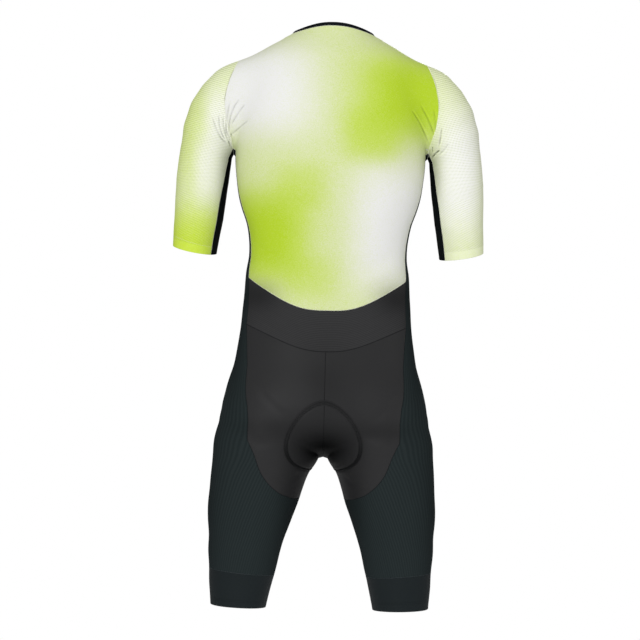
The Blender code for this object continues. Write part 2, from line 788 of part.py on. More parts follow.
def face_outward(mesh):
    """Makes the faces look away from the form."""
    mesh.normal_update()
    face = mesh.faces[:][0]
    middle = np.array(face.calc_center_median())[None]
    if Vector(outward(middle)[0]).dot(face.normal) < 0:
        bmesh.ops.reverse_faces(mesh, faces=mesh.faces)


def draw_in_edges(mesh, distance):
    """Moves the outline in by a distance along the cloth, so that two panels leave a gap.

    At a corner the move follows both edges, and a sharp corner moves at most about three times as far.
    """
    mesh.normal_update()
    moves = {}
    for edge in mesh.edges:
        if not edge.is_boundary:
            continue
        face = edge.link_faces[0]
        first, second = edge.verts
        side = (second.co - first.co).cross(face.normal).normalized()
        if side.dot(face.calc_center_median() - first.co) < 0:
            side.negate()
        for vert in edge.verts:
            moves.setdefault(vert, []).append(side)
    for vert, sides in moves.items():
        first, second = sides[0], sides[-1]
        vert.co += distance * (first + second) / max(1 + first.dot(second), 0.3)


def note_creases(mesh):
    """Keeps at each point its place on the form and how deep the creases press the cloth in there."""
    crease = mesh.verts.layers.float.new("crease")
    home = mesh.verts.layers.float_vector.new("home")
    for vert, depth in zip(mesh.verts, fold_depth(positions(mesh))):
        vert[crease] = depth
        vert[home] = vert.co


def thicken(mesh, wall=WALL, depth=0.0):
    """Gives the cloth its thickness, inwards from a depth below the form."""
    out = mesh.verts.layers.float_vector["out"]
    crease = mesh.verts.layers.float["crease"]
    made = bmesh.ops.extrude_face_region(mesh, geom=mesh.faces[:], use_keep_orig=True)
    inner = {item for item in made["geom"] if isinstance(item, bmesh.types.BMVert)}
    for vert in mesh.verts:
        below = depth + vert[crease] + (wall if vert in inner else 0)
        vert.co -= vert[out] * below
    split_rim(mesh, inner)
    bmesh.ops.recalc_face_normals(mesh, faces=mesh.faces)


def split_rim(mesh, inner):
    """Splits each four-cornered face of the rim along the same diagonal as its neighbour panel's."""
    home = mesh.verts.layers.float_vector["home"]
    for face in mesh.faces[:]:
        outer = [vert for vert in face.verts if vert not in inner]
        if len(face.verts) != 4 or len(outer) != 2:
            continue
        first, second = sorted(outer, key=lambda vert: tuple(vert[home]))
        below = [vert for vert in face.verts if vert in inner]
        across = [vert for vert in below if any(vert in edge.verts for edge in second.link_edges)]
        bmesh.utils.face_split(face, first, across[0])


def add_object(name, mesh, finish, smooth=True):
    data = bpy.data.meshes.new(name)
    mesh.to_mesh(data)
    mesh.free()
    data.materials.append(finish)
    if smooth:
        data.shade_smooth()
        data.set_sharp_from_angle(angle=math.radians(SMOOTH_ANGLE))
    thing = bpy.data.objects.new(name, data)
    bpy.context.scene.collection.objects.link(thing)
    return thing


def add_panel(suit, name, source, finish, side="both", zip_edge=False):
    mesh = panel_mesh(suit, source)
    if zip_edge:
        open_at_zip(mesh)
    if side == "both":
        join_mirror(mesh)
    elif side == "right":
        turn_over(mesh)
    note_creases(mesh)
    draw_in_edges(mesh, SEAM_GAP / 2)
    thicken(mesh)
    return add_object(name, mesh, finish)


def pad_route():
    """The pad's middle line, from the small of the seat, under the crotch, to the front."""
    trunk = trunk_points()
    crotch = leg_points(trunk)[0, TRUNK_COLUMNS + 1 : LEG_COLUMNS]
    back = trunk[:, 0]
    front = trunk[:, -1]
    back = back[back[:, 2] < PAD_TOP_BACK]
    front = front[front[:, 2] < PAD_TOP_FRONT]
    return np.vstack([back, crotch[::-1], front[::-1]])


def beyond_pad(points, route):
    """How far each point lies beyond the pad's outline, by its distance from the middle line."""
    lengths = np.linalg.norm(np.diff(route, axis=0), axis=1)
    starts = np.concatenate([[0], np.cumsum(lengths)])
    nearest = np.full(len(points), 9.0)
    share = np.zeros(len(points))
    for start, end, before, length in zip(route[:-1], route[1:], starts, lengths):
        run = end - start
        t = np.clip((points - start) @ run / (run @ run), 0, 1)
        gap = np.linalg.norm(points - start - t[:, None] * run, axis=1)
        share = np.where(gap < nearest, (before + t * length) / starts[-1], share)
        nearest = np.minimum(gap, nearest)
    return nearest - pad_width_at(share)[0]


def add_seat_pad(suit, finish):
    """The padded insert, made from the points of the panels that it lies under, moved in."""
    mesh = suit.copy()
    panel = mesh.faces.layers.int["panel"]
    carriers = {PANELS.index("seat"), PANELS.index("front_lower")}
    others = [face for face in mesh.faces if face[panel] not in carriers]
    bmesh.ops.delete(mesh, geom=others, context="FACES")
    join_mirror(mesh)
    note_creases(mesh)
    place = mesh.verts.layers.float_vector.new("place")
    for vert, beyond in zip(mesh.verts, beyond_pad(positions(mesh), pad_route())):
        vert[place] = vert.co
        vert.co.z = beyond
    bmesh.ops.bisect_plane(
        mesh,
        geom=mesh.verts[:] + mesh.edges[:] + mesh.faces[:],
        dist=PAD_SNAP,
        plane_co=(0, 0, 0),
        plane_no=(0, 0, 1),
        clear_outer=True,
    )
    for vert in mesh.verts:
        vert.co = vert[place]
    thicken(mesh, wall=PAD_THICKNESS, depth=WALL + SEAM_GAP)
    return add_object("seat_pad", mesh, finish)


def centre_front(height):
    """The point of the form on the centre front at a height, and the direction out of it."""
    start = np.array([[0, trunk_middle(np.array([height]))[0], height]])
    point = ray_hit(start, np.array([[0, -1.0, 0]]))
    normal = outward(point)[0]
    normal[0] = 0
    return Vector(point[0]), Vector(normal).normalized()


def add_zip_tape(finish):
    """The tape and its closed coil, one profile carried down the centre front."""
    top = SEAM_RINGS[0][3]
    steps = round((top - ZIP_BOTTOM) / ZIP_STEP)
    rings = []
    for step in range(steps + 1):
        point, normal = centre_front(top + (ZIP_BOTTOM - top) * step / steps)
        ring = [point + normal * out + Vector((across, 0, 0)) for across, out in ZIP_PROFILE]
        rings.append(ring + ring[:1])
    mesh = bmesh.new()
    mesh.faces.layers.int.new("panel")
    place_grid(mesh, np.array(rings), lambda ring, column: 0)
    bmesh.ops.remove_doubles(mesh, verts=mesh.verts, dist=ON_MIDDLE)
    bmesh.ops.holes_fill(mesh, edges=mesh.edges, sides=len(ZIP_PROFILE))
    bmesh.ops.recalc_face_normals(mesh, faces=mesh.faces)
    return add_object("zip_tape", mesh, finish)


def add_box(mesh, low, high, bevel=0.0):
    """A box between two corners, its edges rounded off."""
    low, high = Vector(low), Vector(high)
    made = bmesh.ops.create_cube(mesh, size=1)["verts"]
    bmesh.ops.scale(mesh, vec=high - low, verts=made)
    bmesh.ops.translate(mesh, vec=(low + high) / 2, verts=made)
    if bevel:
        edges = list({edge for vert in made for edge in vert.link_edges})
        bmesh.ops.bevel(mesh, geom=edges, offset=bevel, segments=1, affect="EDGES", profile=0.5)
    return made


def slider_frame():
    """The slider's axes on the centre front."""
    point, normal = centre_front(SLIDER_HEIGHT)
    across = Vector((1, 0, 0))
    up = normal.cross(across)
    turn = Matrix((across, up, normal)).transposed().to_4x4()
    return Matrix.Translation(point) @ turn


def join_solids(name, pieces, finish, frame):
    """Unites boxes and bars into one solid, placed by a frame."""
    things = [
        add_object(f"{name}_{index}", mesh, finish, smooth=False)
        for index, mesh in enumerate(pieces)
    ]
    whole = things[0]
    for other in things[1:]:
        join = whole.modifiers.new("join", "BOOLEAN")
        join.operation = "UNION"
        join.object = other
    graph = bpy.context.evaluated_depsgraph_get()
    data = bpy.data.meshes.new_from_object(whole.evaluated_get(graph))
    for thing in things:
        bpy.data.objects.remove(thing, do_unlink=True)
    data.name = name
    result = bpy.data.objects.new(name, data)
    result.matrix_world = frame
    bpy.context.scene.collection.objects.link(result)
    return result


def add_slider(finish, frame):
    plate = bmesh.new()
    add_box(plate, PLATE_LOW, PLATE_HIGH, bevel=PLATE_BEVEL)
    outside = BRIDGE_INSIDE + BRIDGE_POST
    bridge = bmesh.new()
    add_box(
        bridge,
        (-BRIDGE_HALF_WIDTH, -outside, BRIDGE_UNDER),
        (BRIDGE_HALF_WIDTH, outside, BRIDGE_TOP),
    )
    posts = []
    for low, high in ((-outside, -BRIDGE_INSIDE), (BRIDGE_INSIDE, outside)):
        post = bmesh.new()
        add_box(
            post,
            (-BRIDGE_HALF_WIDTH, low, PLATE_HIGH[2] - JOIN_OVERLAP),
            (BRIDGE_HALF_WIDTH, high, BRIDGE_UNDER + JOIN_OVERLAP),
        )
        posts.append(post)
    return join_solids("zip_slider", [plate, bridge, *posts], finish, frame)


def add_pull(finish, frame):
    """The pull tab: a plate with an eye, hung on a round bar under the slider's bridge."""
    half = PULL_THICKNESS / 2
    eye_end = -BAR_RADIUS - EYE_LENGTH
    pieces = []
    for side in (-1, 1):
        edges = sorted((side * EYE_HALF_WIDTH, side * PULL_HALF_WIDTH))
        arm = bmesh.new()
        add_box(arm, (edges[0], eye_end - JOIN_OVERLAP, -half), (edges[1], 0, half))
        pieces.append(arm)
    blade = bmesh.new()
    add_box(blade, (-PULL_HALF_WIDTH, -PULL_LENGTH, -half), (PULL_HALF_WIDTH, eye_end, half))
    pieces.append(blade)
    bar = bmesh.new()
    bmesh.ops.create_cone(
        bar,
        segments=12,
        radius1=BAR_RADIUS,
        radius2=BAR_RADIUS,
        depth=2 * PULL_HALF_WIDTH,
        cap_ends=True,
        matrix=Matrix.Rotation(math.pi / 2, 4, "Y"),
    )
    pieces.append(bar)
    return join_solids("zip_pull", pieces, finish, frame @ Matrix.Translation((0, 0, PIVOT_OUT)))


def main():
    clear_scene()
    print_lycra = material("printed_lycra", PRINT_LIME, 0.75)
    sleeve_mesh = material("printed_sleeve_mesh", PRINT_LIME, 0.8)
    black_lycra = material("black_lycra", BLACK, 0.6)
    seat_lycra = material("smooth_seat_lycra", CHARCOAL, 0.5)
    gripper = material("gripper_band", BLACK, 0.45)
    pad_foam = material("pad_fleece", PAD_GREY, 0.9)
    coil = material("zip_coil", BLACK, 0.5)
    metal = material("gunmetal", GUNMETAL, 0.35, 0.8)

    suit = half_suit()
    add_panel(suit, "collar", "collar", black_lycra, zip_edge=True)
    add_panel(suit, "back_panel", "back_panel", print_lycra)
    add_panel(suit, "waistband", "waistband", black_lycra)
    add_panel(suit, "front_lower", "front_lower", black_lycra)
    for side in ("left", "right"):
        add_panel(suit, f"front_{side}", "front", print_lycra, side, zip_edge=True)
        add_panel(suit, f"seat_{side}", "seat", seat_lycra, side)
        add_panel(suit, f"side_panel_{side}", "side_panel", black_lycra, side)
        add_panel(suit, f"thigh_{side}", "thigh", black_lycra, side)
        add_panel(suit, f"leg_band_{side}", "leg_band", gripper, side)
        add_panel(suit, f"sleeve_{side}", "sleeve", sleeve_mesh, side)
        add_panel(suit, f"underarm_{side}", "underarm", black_lycra, side)
    add_seat_pad(suit, pad_foam)
    suit.free()
    add_zip_tape(coil)
    frame = slider_frame()
    add_slider(metal, frame)
    add_pull(metal, frame)


main()
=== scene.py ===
# Dresses the triathlon suit: its sewn cloth with creases, stitching, pad and closed zip, the finish of each
# cloth, and a plain studio. Metres, +Z up, the suit's front towards -Y, the wearer's left at +X.
import math

import bmesh
import bpy
import numpy as np
from mathutils import Matrix, Vector


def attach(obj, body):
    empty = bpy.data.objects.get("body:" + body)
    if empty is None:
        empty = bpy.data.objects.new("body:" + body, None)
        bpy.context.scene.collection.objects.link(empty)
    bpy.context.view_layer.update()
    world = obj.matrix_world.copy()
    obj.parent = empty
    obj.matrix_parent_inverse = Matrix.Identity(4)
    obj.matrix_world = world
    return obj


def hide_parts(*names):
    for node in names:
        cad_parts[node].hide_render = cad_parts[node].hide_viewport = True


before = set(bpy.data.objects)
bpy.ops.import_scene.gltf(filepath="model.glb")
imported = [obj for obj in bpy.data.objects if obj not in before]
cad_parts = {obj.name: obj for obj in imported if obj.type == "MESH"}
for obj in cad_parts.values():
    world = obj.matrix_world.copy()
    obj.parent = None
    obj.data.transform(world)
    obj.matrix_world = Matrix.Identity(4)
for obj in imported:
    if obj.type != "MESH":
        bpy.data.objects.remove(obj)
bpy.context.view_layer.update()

print("frame loaded")

# The filled-out form that all the cloth lies on, the same as the frame's.
form = {
    # height, half width, back, front, squareness
    "trunk": (
        (0.04, 0.062, 0.058, 0.044, 2.0),
        (0.023, 0.065, 0.062, 0.047, 2.0),
        (0.01, 0.068, 0.066, 0.05, 2.0),
        (0.004, 0.0735, 0.069, 0.052, 2.0),
        (0.0, 0.081, 0.071, 0.053, 2.0),
        (-0.007, 0.092, 0.075, 0.056, 2.0),
        (-0.014, 0.105, 0.079, 0.06, 2.0),
        (-0.028, 0.127, 0.087, 0.067, 2.1),
        (-0.041, 0.142, 0.093, 0.073, 2.2),
        (-0.06, 0.152, 0.101, 0.083, 2.3),
        (-0.09, 0.158, 0.111, 0.095, 2.4),
        (-0.12, 0.162, 0.118, 0.104, 2.5),
        (-0.15, 0.164, 0.121, 0.109, 2.5),
        (-0.191, 0.164, 0.121, 0.112, 2.5),
        (-0.215, 0.1635, 0.119, 0.112, 2.5),
        (-0.24, 0.1615, 0.117, 0.111, 2.5),
        (-0.268, 0.158, 0.113, 0.109, 2.5),
        (-0.296, 0.151, 0.108, 0.106, 2.4),
        (-0.323, 0.142, 0.103, 0.103, 2.4),
        (-0.351, 0.137, 0.097, 0.101, 2.4),
        (-0.378, 0.1365, 0.092, 0.1, 2.4),
        (-0.406, 0.1405, 0.088, 0.099, 2.4),
        (-0.447, 0.1435, 0.086, 0.098, 2.3),
        (-0.502, 0.148, 0.09, 0.099, 2.3),
        (-0.557, 0.156, 0.103, 0.1, 2.3),
        (-0.612, 0.169, 0.117, 0.099, 2.3),
        (-0.64, 0.173, 0.12, 0.096, 2.3),
        (-0.667, 0.166, 0.115, 0.09, 2.2),
        (-0.69, 0.12, 0.098, 0.076, 2.0),
        (-0.706, 0.055, 0.07, 0.052, 2.0),
        (-0.714, 0.018, 0.035, 0.024, 2.0),
        (-0.722, 0.001, 0.002, 0.001, 2.0),
    ),
    # left leg: height, middle, half width, back, front
    "leg": (
        (-0.52, 0.07, 0.02, 0.02, 0.02),
        (-0.56, 0.078, 0.06, 0.07, 0.062),
        (-0.612, 0.085, 0.079, 0.105, 0.088),
        (-0.64, 0.088, 0.084, 0.11, 0.09),
        (-0.667, 0.092, 0.089, 0.112, 0.093),
        (-0.695, 0.096, 0.092, 0.111, 0.094),
        (-0.722, 0.099, 0.091, 0.106, 0.093),
        (-0.75, 0.108, 0.084, 0.1, 0.091),
        (-0.778, 0.114, 0.08, 0.094, 0.089),
        (-0.805, 0.119, 0.077, 0.088, 0.086),
        (-0.832, 0.124, 0.072, 0.082, 0.083),
        (-0.86, 0.128, 0.066, 0.076, 0.079),
        (-0.888, 0.132, 0.062, 0.07, 0.074),
        (-0.915, 0.134, 0.058, 0.064, 0.069),
        (-0.943, 0.137, 0.054, 0.058, 0.065),
        (-0.97, 0.139, 0.05, 0.054, 0.062),
        (-1.0, 0.141, 0.046, 0.05, 0.058),
    ),
    # left arm: across, along y, height, radius
    "arm": (
        (0.166, 0.008, -0.101, 0.052),
        (0.181, 0.008, -0.118, 0.053),
        (0.194, 0.007, -0.139, 0.053),
        (0.2045, 0.005, -0.166, 0.0505),
        (0.2145, 0.001, -0.2, 0.045),
        (0.22, -0.006, -0.25, 0.0455),
        (0.225, -0.015, -0.31, 0.0425),
        (0.231, -0.024, -0.365, 0.0388),
        (0.236, -0.032, -0.42, 0.0375),
    ),
    # height, how softly the arm runs into the trunk there
    "armBlend": ((-0.2, 0.004), (-0.18, 0.012), (-0.14, 0.03), (-0.06, 0.045)),
    "legBlend": 0.016,
    "trunkBottom": -0.716,
    "legTop": -0.54,
    "legSquareness": 2.1,
}

# How the suit is cut: seam heights and turns, and the rows and columns of cloth between the seams.
finer = 6  # rows and columns of cloth for each one of the frame's
cut = {
    # name, height at the back, side and front, how long it stays level, rows to the next one
    "seamRings": (
        ("neck edge", 0.023, 0.009, -0.022, 2.4, 1),
        ("collar seam", 0.0165, 0.004, -0.03, 2.4, 5),
        ("armhole top", -0.082, -0.046, -0.095, 2.4, 7),
        ("underarm", -0.225, -0.191, -0.228, 2.4, 10),
        ("print hem", -0.4695, -0.409, -0.455, 3.4, 3),
        ("waistband hem", -0.5395, -0.491, -0.522, 2.6, 6),
        ("crotch", -0.695, -0.6, -0.688, 2.4, 0),
    ),
    "armholeDip": 2.4,
    "yokeTurn": 63.0,
    "yokeBottom": -0.18,
    # height, degrees round from the centre back
    "sideSeam": (
        (-0.18, 84.0),
        (-0.308, 77.5),
        (-0.411, 74.0),
        (-0.494, 75.0),
        (-0.55, 67.5),
        (-0.6, 56.5),
    ),
    "backColumns": 7 * finer,
    "sideColumns": 6 * finer,
    "crotchColumns": 6 * finer,
    # height, distance of the armhole seam from the middle
    "armholeLean": (
        (-0.23, 0.167),
        (-0.191, 0.1685),
        (-0.15, 0.1795),
        (-0.118, 0.1825),
        (-0.086, 0.1775),
        (-0.046, 0.1625),
        (-0.02, 0.15),
    ),
    "armholeMiddle": (0.006, -0.118),
    "armholeTopArc": 40.0,
    "armholeStripArc": 14.0,
    "armholeReach": 0.12,
    "sleeveRows": 13 * finer,
    "sleeveStart": 0.176,
    "sleeveBow": (0.03, 0.01, 0.0),
    "sleeveHem": (0.232, -0.025, -0.369),
    "sleeveHemAxis": (0.17, -0.17, -1.0),
    "hemStripArc": 39.0,
    # degrees round the thigh from its inner side, height of the seat panel's edge
    "seatEdge": (
        (0.0, -0.793),
        (45.0, -0.79),
        (65.0, -0.78),
        (81.0, -0.761),
        (96.0, -0.731),
        (109.0, -0.692),
        (180.0, -0.69),
    ),
    "seatEdgeTurn": 109.0,
    "crotchPivot": (0.0, 0.008, -0.64),
    "legRayTop": -0.66,
    "seatRows": 4 * finer,
    "thighRows": 8 * finer,
    "bandRows": 3 * finer,
    "bandSeam": -0.922,
    "bandSeamTilt": 0.0055,
    "legHem": -0.982,
    "legHemTilt": 0.002,
    "zipSlot": 0.0064,
    "zipBottom": -0.4535,
    "wall": 0.0012,
    "seamGap": 0.0003,
}
# the rows and columns at which one panel ends and the next begins
cut["trunkColumns"] = 2 * cut["backColumns"] + cut["sideColumns"]
cut["legColumns"] = cut["trunkColumns"] + cut["crotchColumns"]
cut["armholeRows"] = finer * [row[-1] for row in cut["seamRings"] if row[0] == "armhole top"][0]
cut["ringRows"] = np.cumsum([0] + [row[-1] * finer for row in cut["seamRings"]])
cut["sideEnds"] = cut["backColumns"], cut["backColumns"] + cut["sideColumns"]
cut["yokeMiddle"] = cut["trunkColumns"] // 2
cut["crotchMiddle"] = cut["trunkColumns"] + cut["crotchColumns"] // 2
cut["bandRow"] = cut["seatRows"] + cut["thighRows"]
cut["stripEnds"] = np.array((0, cut["sideColumns"])) + cut["sideColumns"] + cut["armholeRows"]


def smoothTable(table):  # a smooth curve through a table's rows, read by the first column
    rows = np.array(sorted(table))
    stations = rows[:, 0]
    values = rows[:, 1:]
    slopes = np.gradient(values, stations, axis=0)

    def read(place):
        place = np.clip(place, stations[0], stations[-1])
        row = np.clip(np.searchsorted(stations, place) - 1, 0, len(stations) - 2)
        step = (stations[row + 1] - stations[row])[:, None]
        t = (place - stations[row])[:, None] / step
        start = (2 * t**3 - 3 * t**2 + 1) * values[row] + (t**3 - 2 * t**2 + t) * step * slopes[row]
        end = (3 * t**2 - 2 * t**3) * values[row + 1] + (t**3 - t**2) * step * slopes[row + 1]
        return (start + end).T

    return read


trunkAt = smoothTable(form["trunk"])
legAt = smoothTable(form["leg"])
seamTurnAt = smoothTable(cut["sideSeam"])
armholeLeanAt = smoothTable(cut["armholeLean"])
seatEdgeAt = smoothTable(cut["seatEdge"])


def unit(vectors):  # the same directions, each one long
    return vectors / np.maximum(np.linalg.norm(vectors, axis=-1, keepdims=True), 1e-12)


def running(steps):  # the running total of some steps, from nothing
    return np.concatenate([[0], np.cumsum(steps)])


def folded(points):  # the places on the wearer's left that match points of either half
    return np.column_stack([np.abs(points[:, 0]), points[:, 1:]])


def fromSegment(points, start, end):  # how far along a segment each point lies, and its offset from there
    run = end - start
    share = np.clip((points - start) @ run / (run @ run), 0, 1)
    return share, points - start - share[:, None] * run


def sectionDistance(across, along, halfWidth, halfDepth, squareness):
    across = np.abs(across) + 1e-9
    along = np.abs(along) + 1e-9
    reach = (across / halfWidth) ** squareness + (along / halfDepth) ** squareness
    distance = np.hypot(across, along)
    return distance - distance / reach ** (1 / squareness)


def armDistance(points):
    line = np.array(form["arm"])
    nearest = np.full(len(points), np.inf)
    for start, end in zip(line[:-1], line[1:]):
        share, offset = fromSegment(points, start[:3], end[:3])
        radius = start[3] + (end[3] - start[3]) * share
        nearest = np.minimum(nearest, np.linalg.norm(offset, axis=1) - radius)
    return nearest


def blended(first, second, softness):  # the nearer of two distances, rounded off where they are alike
    overlap = np.maximum(softness - np.abs(first - second), 0) / softness
    return np.minimum(first, second) - overlap**2 * softness / 4


def formDistance(points):  # zero on the cloth's outer face, growing outwards
    left = folded(points)
    across, along, height = left.T
    halfWidth, back, front, squareness = trunkAt(height)
    trunk = sectionDistance(across, along - (back - front) / 2, halfWidth, (back + front) / 2, squareness)
    trunk += np.maximum(form["trunkBottom"] - height, 0)
    middle, halfWidth, back, front = legAt(height)
    centred = along - (back - front) / 2
    leg = sectionDistance(across - middle, centred, halfWidth, (back + front) / 2, form["legSquareness"])
    leg += np.maximum(height - form["legTop"], 0)
    softness = np.interp(height, *np.array(form["armBlend"]).T)
    return blended(blended(trunk, armDistance(left), softness), leg, form["legBlend"])


def outward(points, step=0.0008):  # unit directions straight out of the form
    slope = np.empty_like(points)
    for axis, shift in enumerate(np.eye(3) * step):
        slope[:, axis] = formDistance(points + shift) - formDistance(points - shift)
    return unit(slope)


def ontoForm(points, step=0.0008, rounds=6):  # moves points straight in or out until they lie on the form
    for _ in range(rounds):
        direction = outward(points)
        here = formDistance(points)
        slope = (formDistance(points + step * direction) - here) / step
        points = points - direction * (here / np.maximum(slope, 0.2))[:, None]
    return points


def lastInside(near, far, place, rounds):  # halves each span until it ends where its place leaves the form
    for _ in range(rounds):
        middle = (near + far) / 2
        outside = formDistance(place(middle)) > 0
        far = np.where(outside, middle, far)
        near = np.where(outside, near, middle)
    return place(near)


def rayHit(starts, directions, reach=0.33, samples=110):  # where rays from inside first leave the form
    directions = unit(directions)
    near = np.zeros(len(starts))
    far = np.full(len(starts), reach)
    found = np.zeros(len(starts), bool)
    for distance in np.linspace(0, reach, samples):
        outside = formDistance(starts + distance * directions) > 0
        far = np.where(outside & ~found, distance, far)
        near = np.where(~outside & ~found, distance, near)
        found |= outside
    return lastInside(near, far, lambda distance: starts + distance[:, None] * directions, rounds=20)


def trunkMiddle(height):  # where along y the trunk's middle lies
    _, back, front, _ = trunkAt(height)
    return (back - front) / 2


def legMiddle(height):  # the leg's middle, across and along y
    middle, _, back, front = legAt(height)
    return middle, (back - front) / 2


def armholeLoop():  # the armhole seam, from the back of its top arc forward and down
    top, strip = 2 * cut["armholeTopArc"], 2 * cut["armholeStripArc"]
    side = (360 - top - strip) / 2
    columns, down = cut["sideColumns"], cut["armholeRows"]
    turns = [-top / 2]
    for arc, steps in ((top, columns), (side, down), (strip, columns), (side, down)):
        turns += [turns[-1] + arc / steps * (step + 1) for step in range(steps)]
    angles = np.radians(turns[:-1])
    middleY, middleZ = cut["armholeMiddle"]

    def place(radius):
        height = middleZ + radius * np.cos(angles)
        return np.column_stack([armholeLeanAt(height)[0], middleY - radius * np.sin(angles), height])

    return lastInside(np.zeros(len(angles)), np.full(len(angles), cut["armholeReach"]), place, rounds=22)


def ringHeights(back, side, front, dip, turns):
    lift = np.abs(np.sin(turns)) ** dip
    middle = np.where(turns < math.pi / 2, back, front)
    return middle + (side - middle) * lift


def columnTurns(seamTurn):  # turns of the trunk's columns, from the centre back to the centre front
    back = np.linspace(0, seamTurn, cut["backColumns"] + 1)
    side = np.linspace(seamTurn, math.pi - seamTurn, cut["sideColumns"] + 1)
    front = np.linspace(math.pi - seamTurn, math.pi, cut["backColumns"] + 1)
    return np.concatenate([back, side[1:], front[1:]])


def eased(centre, end, count):  # from the centre line out to a seam, level where they leave the centre line
    return centre + (end - centre) * np.sin(np.linspace(0, math.pi / 2, count)) ** cut["armholeDip"]


def trunkPoints():  # the trunk by row and column
    loop = armholeLoop()
    down, sideColumns = cut["armholeRows"], cut["sideColumns"]
    first, last = cut["sideEnds"]
    frontSide = loop[sideColumns : sideColumns + down + 1]
    backSide = np.vstack([loop[2 * sideColumns + down :], loop[:1]])[::-1]
    arcs = {
        "armhole top": loop[: sideColumns + 1],
        "underarm": loop[sideColumns + down : 2 * sideColumns + down + 1][::-1],
    }

    def turnsOf(points):
        return np.arctan2(points[:, 0], points[:, 1] - trunkMiddle(points[:, 2]))

    def spread(backEnd, frontEnd, middleTurns):
        back = np.linspace(0, backEnd, first + 1)[:-1]
        return np.concatenate([back, middleTurns, np.linspace(frontEnd, math.pi, first + 1)[1:]])

    def seamRing(name, back, side, front, dip):  # turns and heights of a named seam
        arc = arcs.get(name)
        if arc is None:
            seam = cut["yokeTurn"]
            if side < cut["yokeBottom"]:
                seam = seamTurnAt(np.array([(back + side) / 2]))[0][0]
            turns = columnTurns(math.radians(seam))
            return turns, ringHeights(back, side, front, dip, turns)
        turns = spread(turnsOf(arc)[0], turnsOf(arc)[-1], turnsOf(arc))
        heights = ringHeights(back, side, front, dip, turns)
        heights[first : last + 1] = arc[:, 2]
        heights[:first] = eased(back, arc[0, 2], first + 1)[:-1]
        heights[last + 1 :] = eased(front, arc[-1, 2], first + 1)[::-1][1:]
        return turns, heights

    rows = []
    pinned = {}
    for (name, *levels, frameSteps), below in zip(cut["seamRings"][:-1], cut["seamRings"][1:]):
        steps = frameSteps * finer
        upper = seamRing(name, *levels)
        lower = seamRing(below[0], *below[1:5])
        for step in range(steps):
            share = step / steps
            turns, heights = (one * (1 - share) + other * share for one, other in zip(upper, lower))
            if name == "armhole top":
                backPoint, frontPoint = backSide[step], frontSide[step]
                backTurn, frontTurn = turnsOf(np.array([backPoint, frontPoint]))
                turns = spread(backTurn, frontTurn, np.linspace(backTurn, frontTurn, sideColumns + 1))
                backLevel = levels[0] * (1 - share) + below[1] * share
                frontLevel = levels[2] * (1 - share) + below[3] * share
                heights[: first + 1] = eased(backLevel, backPoint[2], first + 1)
                heights[last:] = eased(frontLevel, frontPoint[2], first + 1)[::-1]
                pinned[len(rows), first] = backPoint
                pinned[len(rows), last] = frontPoint
                if step == 0:
                    turns, heights = upper
            if name in arcs and step == 0:
                for column, point in enumerate(arcs[name]):
                    pinned[len(rows), first + column] = point
            rows.append((turns, heights))
    rows.append(lower)
    turns, heights = (np.array(part) for part in zip(*rows))
    starts = np.stack([0 * turns, trunkMiddle(heights.ravel()).reshape(turns.shape), heights], -1)
    directions = np.stack([np.sin(turns), np.cos(turns), 0 * turns], -1)
    points = rayHit(starts.reshape(-1, 3), directions.reshape(-1, 3)).reshape(starts.shape)
    for place, point in pinned.items():
        points[place] = point
    points[:, 0, 0] = 0
    points[:, -1, 0] = 0
    return points


def sleevePoints():  # the left sleeve by row and column, from the armhole seam to the hem
    loop = armholeLoop()
    down, sideColumns = cut["armholeRows"], cut["sideColumns"]
    strip = 2 * cut["hemStripArc"]
    side = (360 - strip) / (sideColumns + 2 * down)
    steps = [side] * (sideColumns + down) + [strip / sideColumns] * sideColumns + [side] * (down - 1)
    turns = np.radians(-side * sideColumns / 2 + running(steps))
    axis = unit(np.array(cut["sleeveHemAxis"]))
    front = unit(np.array((0, -1.0, 0)) + axis * axis[1])
    outer = np.cross(axis, front)
    outer *= np.sign(outer[0])
    hemDirections = np.cos(turns)[:, None] * outer + np.sin(turns)[:, None] * front
    middle = np.array((cut["sleeveStart"], *cut["armholeMiddle"]))
    firstDirections = unit(loop - middle)
    starts, directions = [], []
    for row in range(1, cut["sleeveRows"] + 1):
        share = row / cut["sleeveRows"]
        bow = share * (1 - share) * np.array(cut["sleeveBow"])
        centre = middle + (np.array(cut["sleeveHem"]) - middle) * share + bow
        directions.append(firstDirections * (1 - share) + hemDirections * share)
        starts.append(np.tile(centre, (len(loop), 1)))
    points = rayHit(np.concatenate(starts), np.concatenate(directions), reach=0.16)
    points = np.concatenate([loop, points]).reshape(cut["sleeveRows"] + 1, len(loop), 3)
    return np.concatenate([points, points[:, :1]], axis=1)


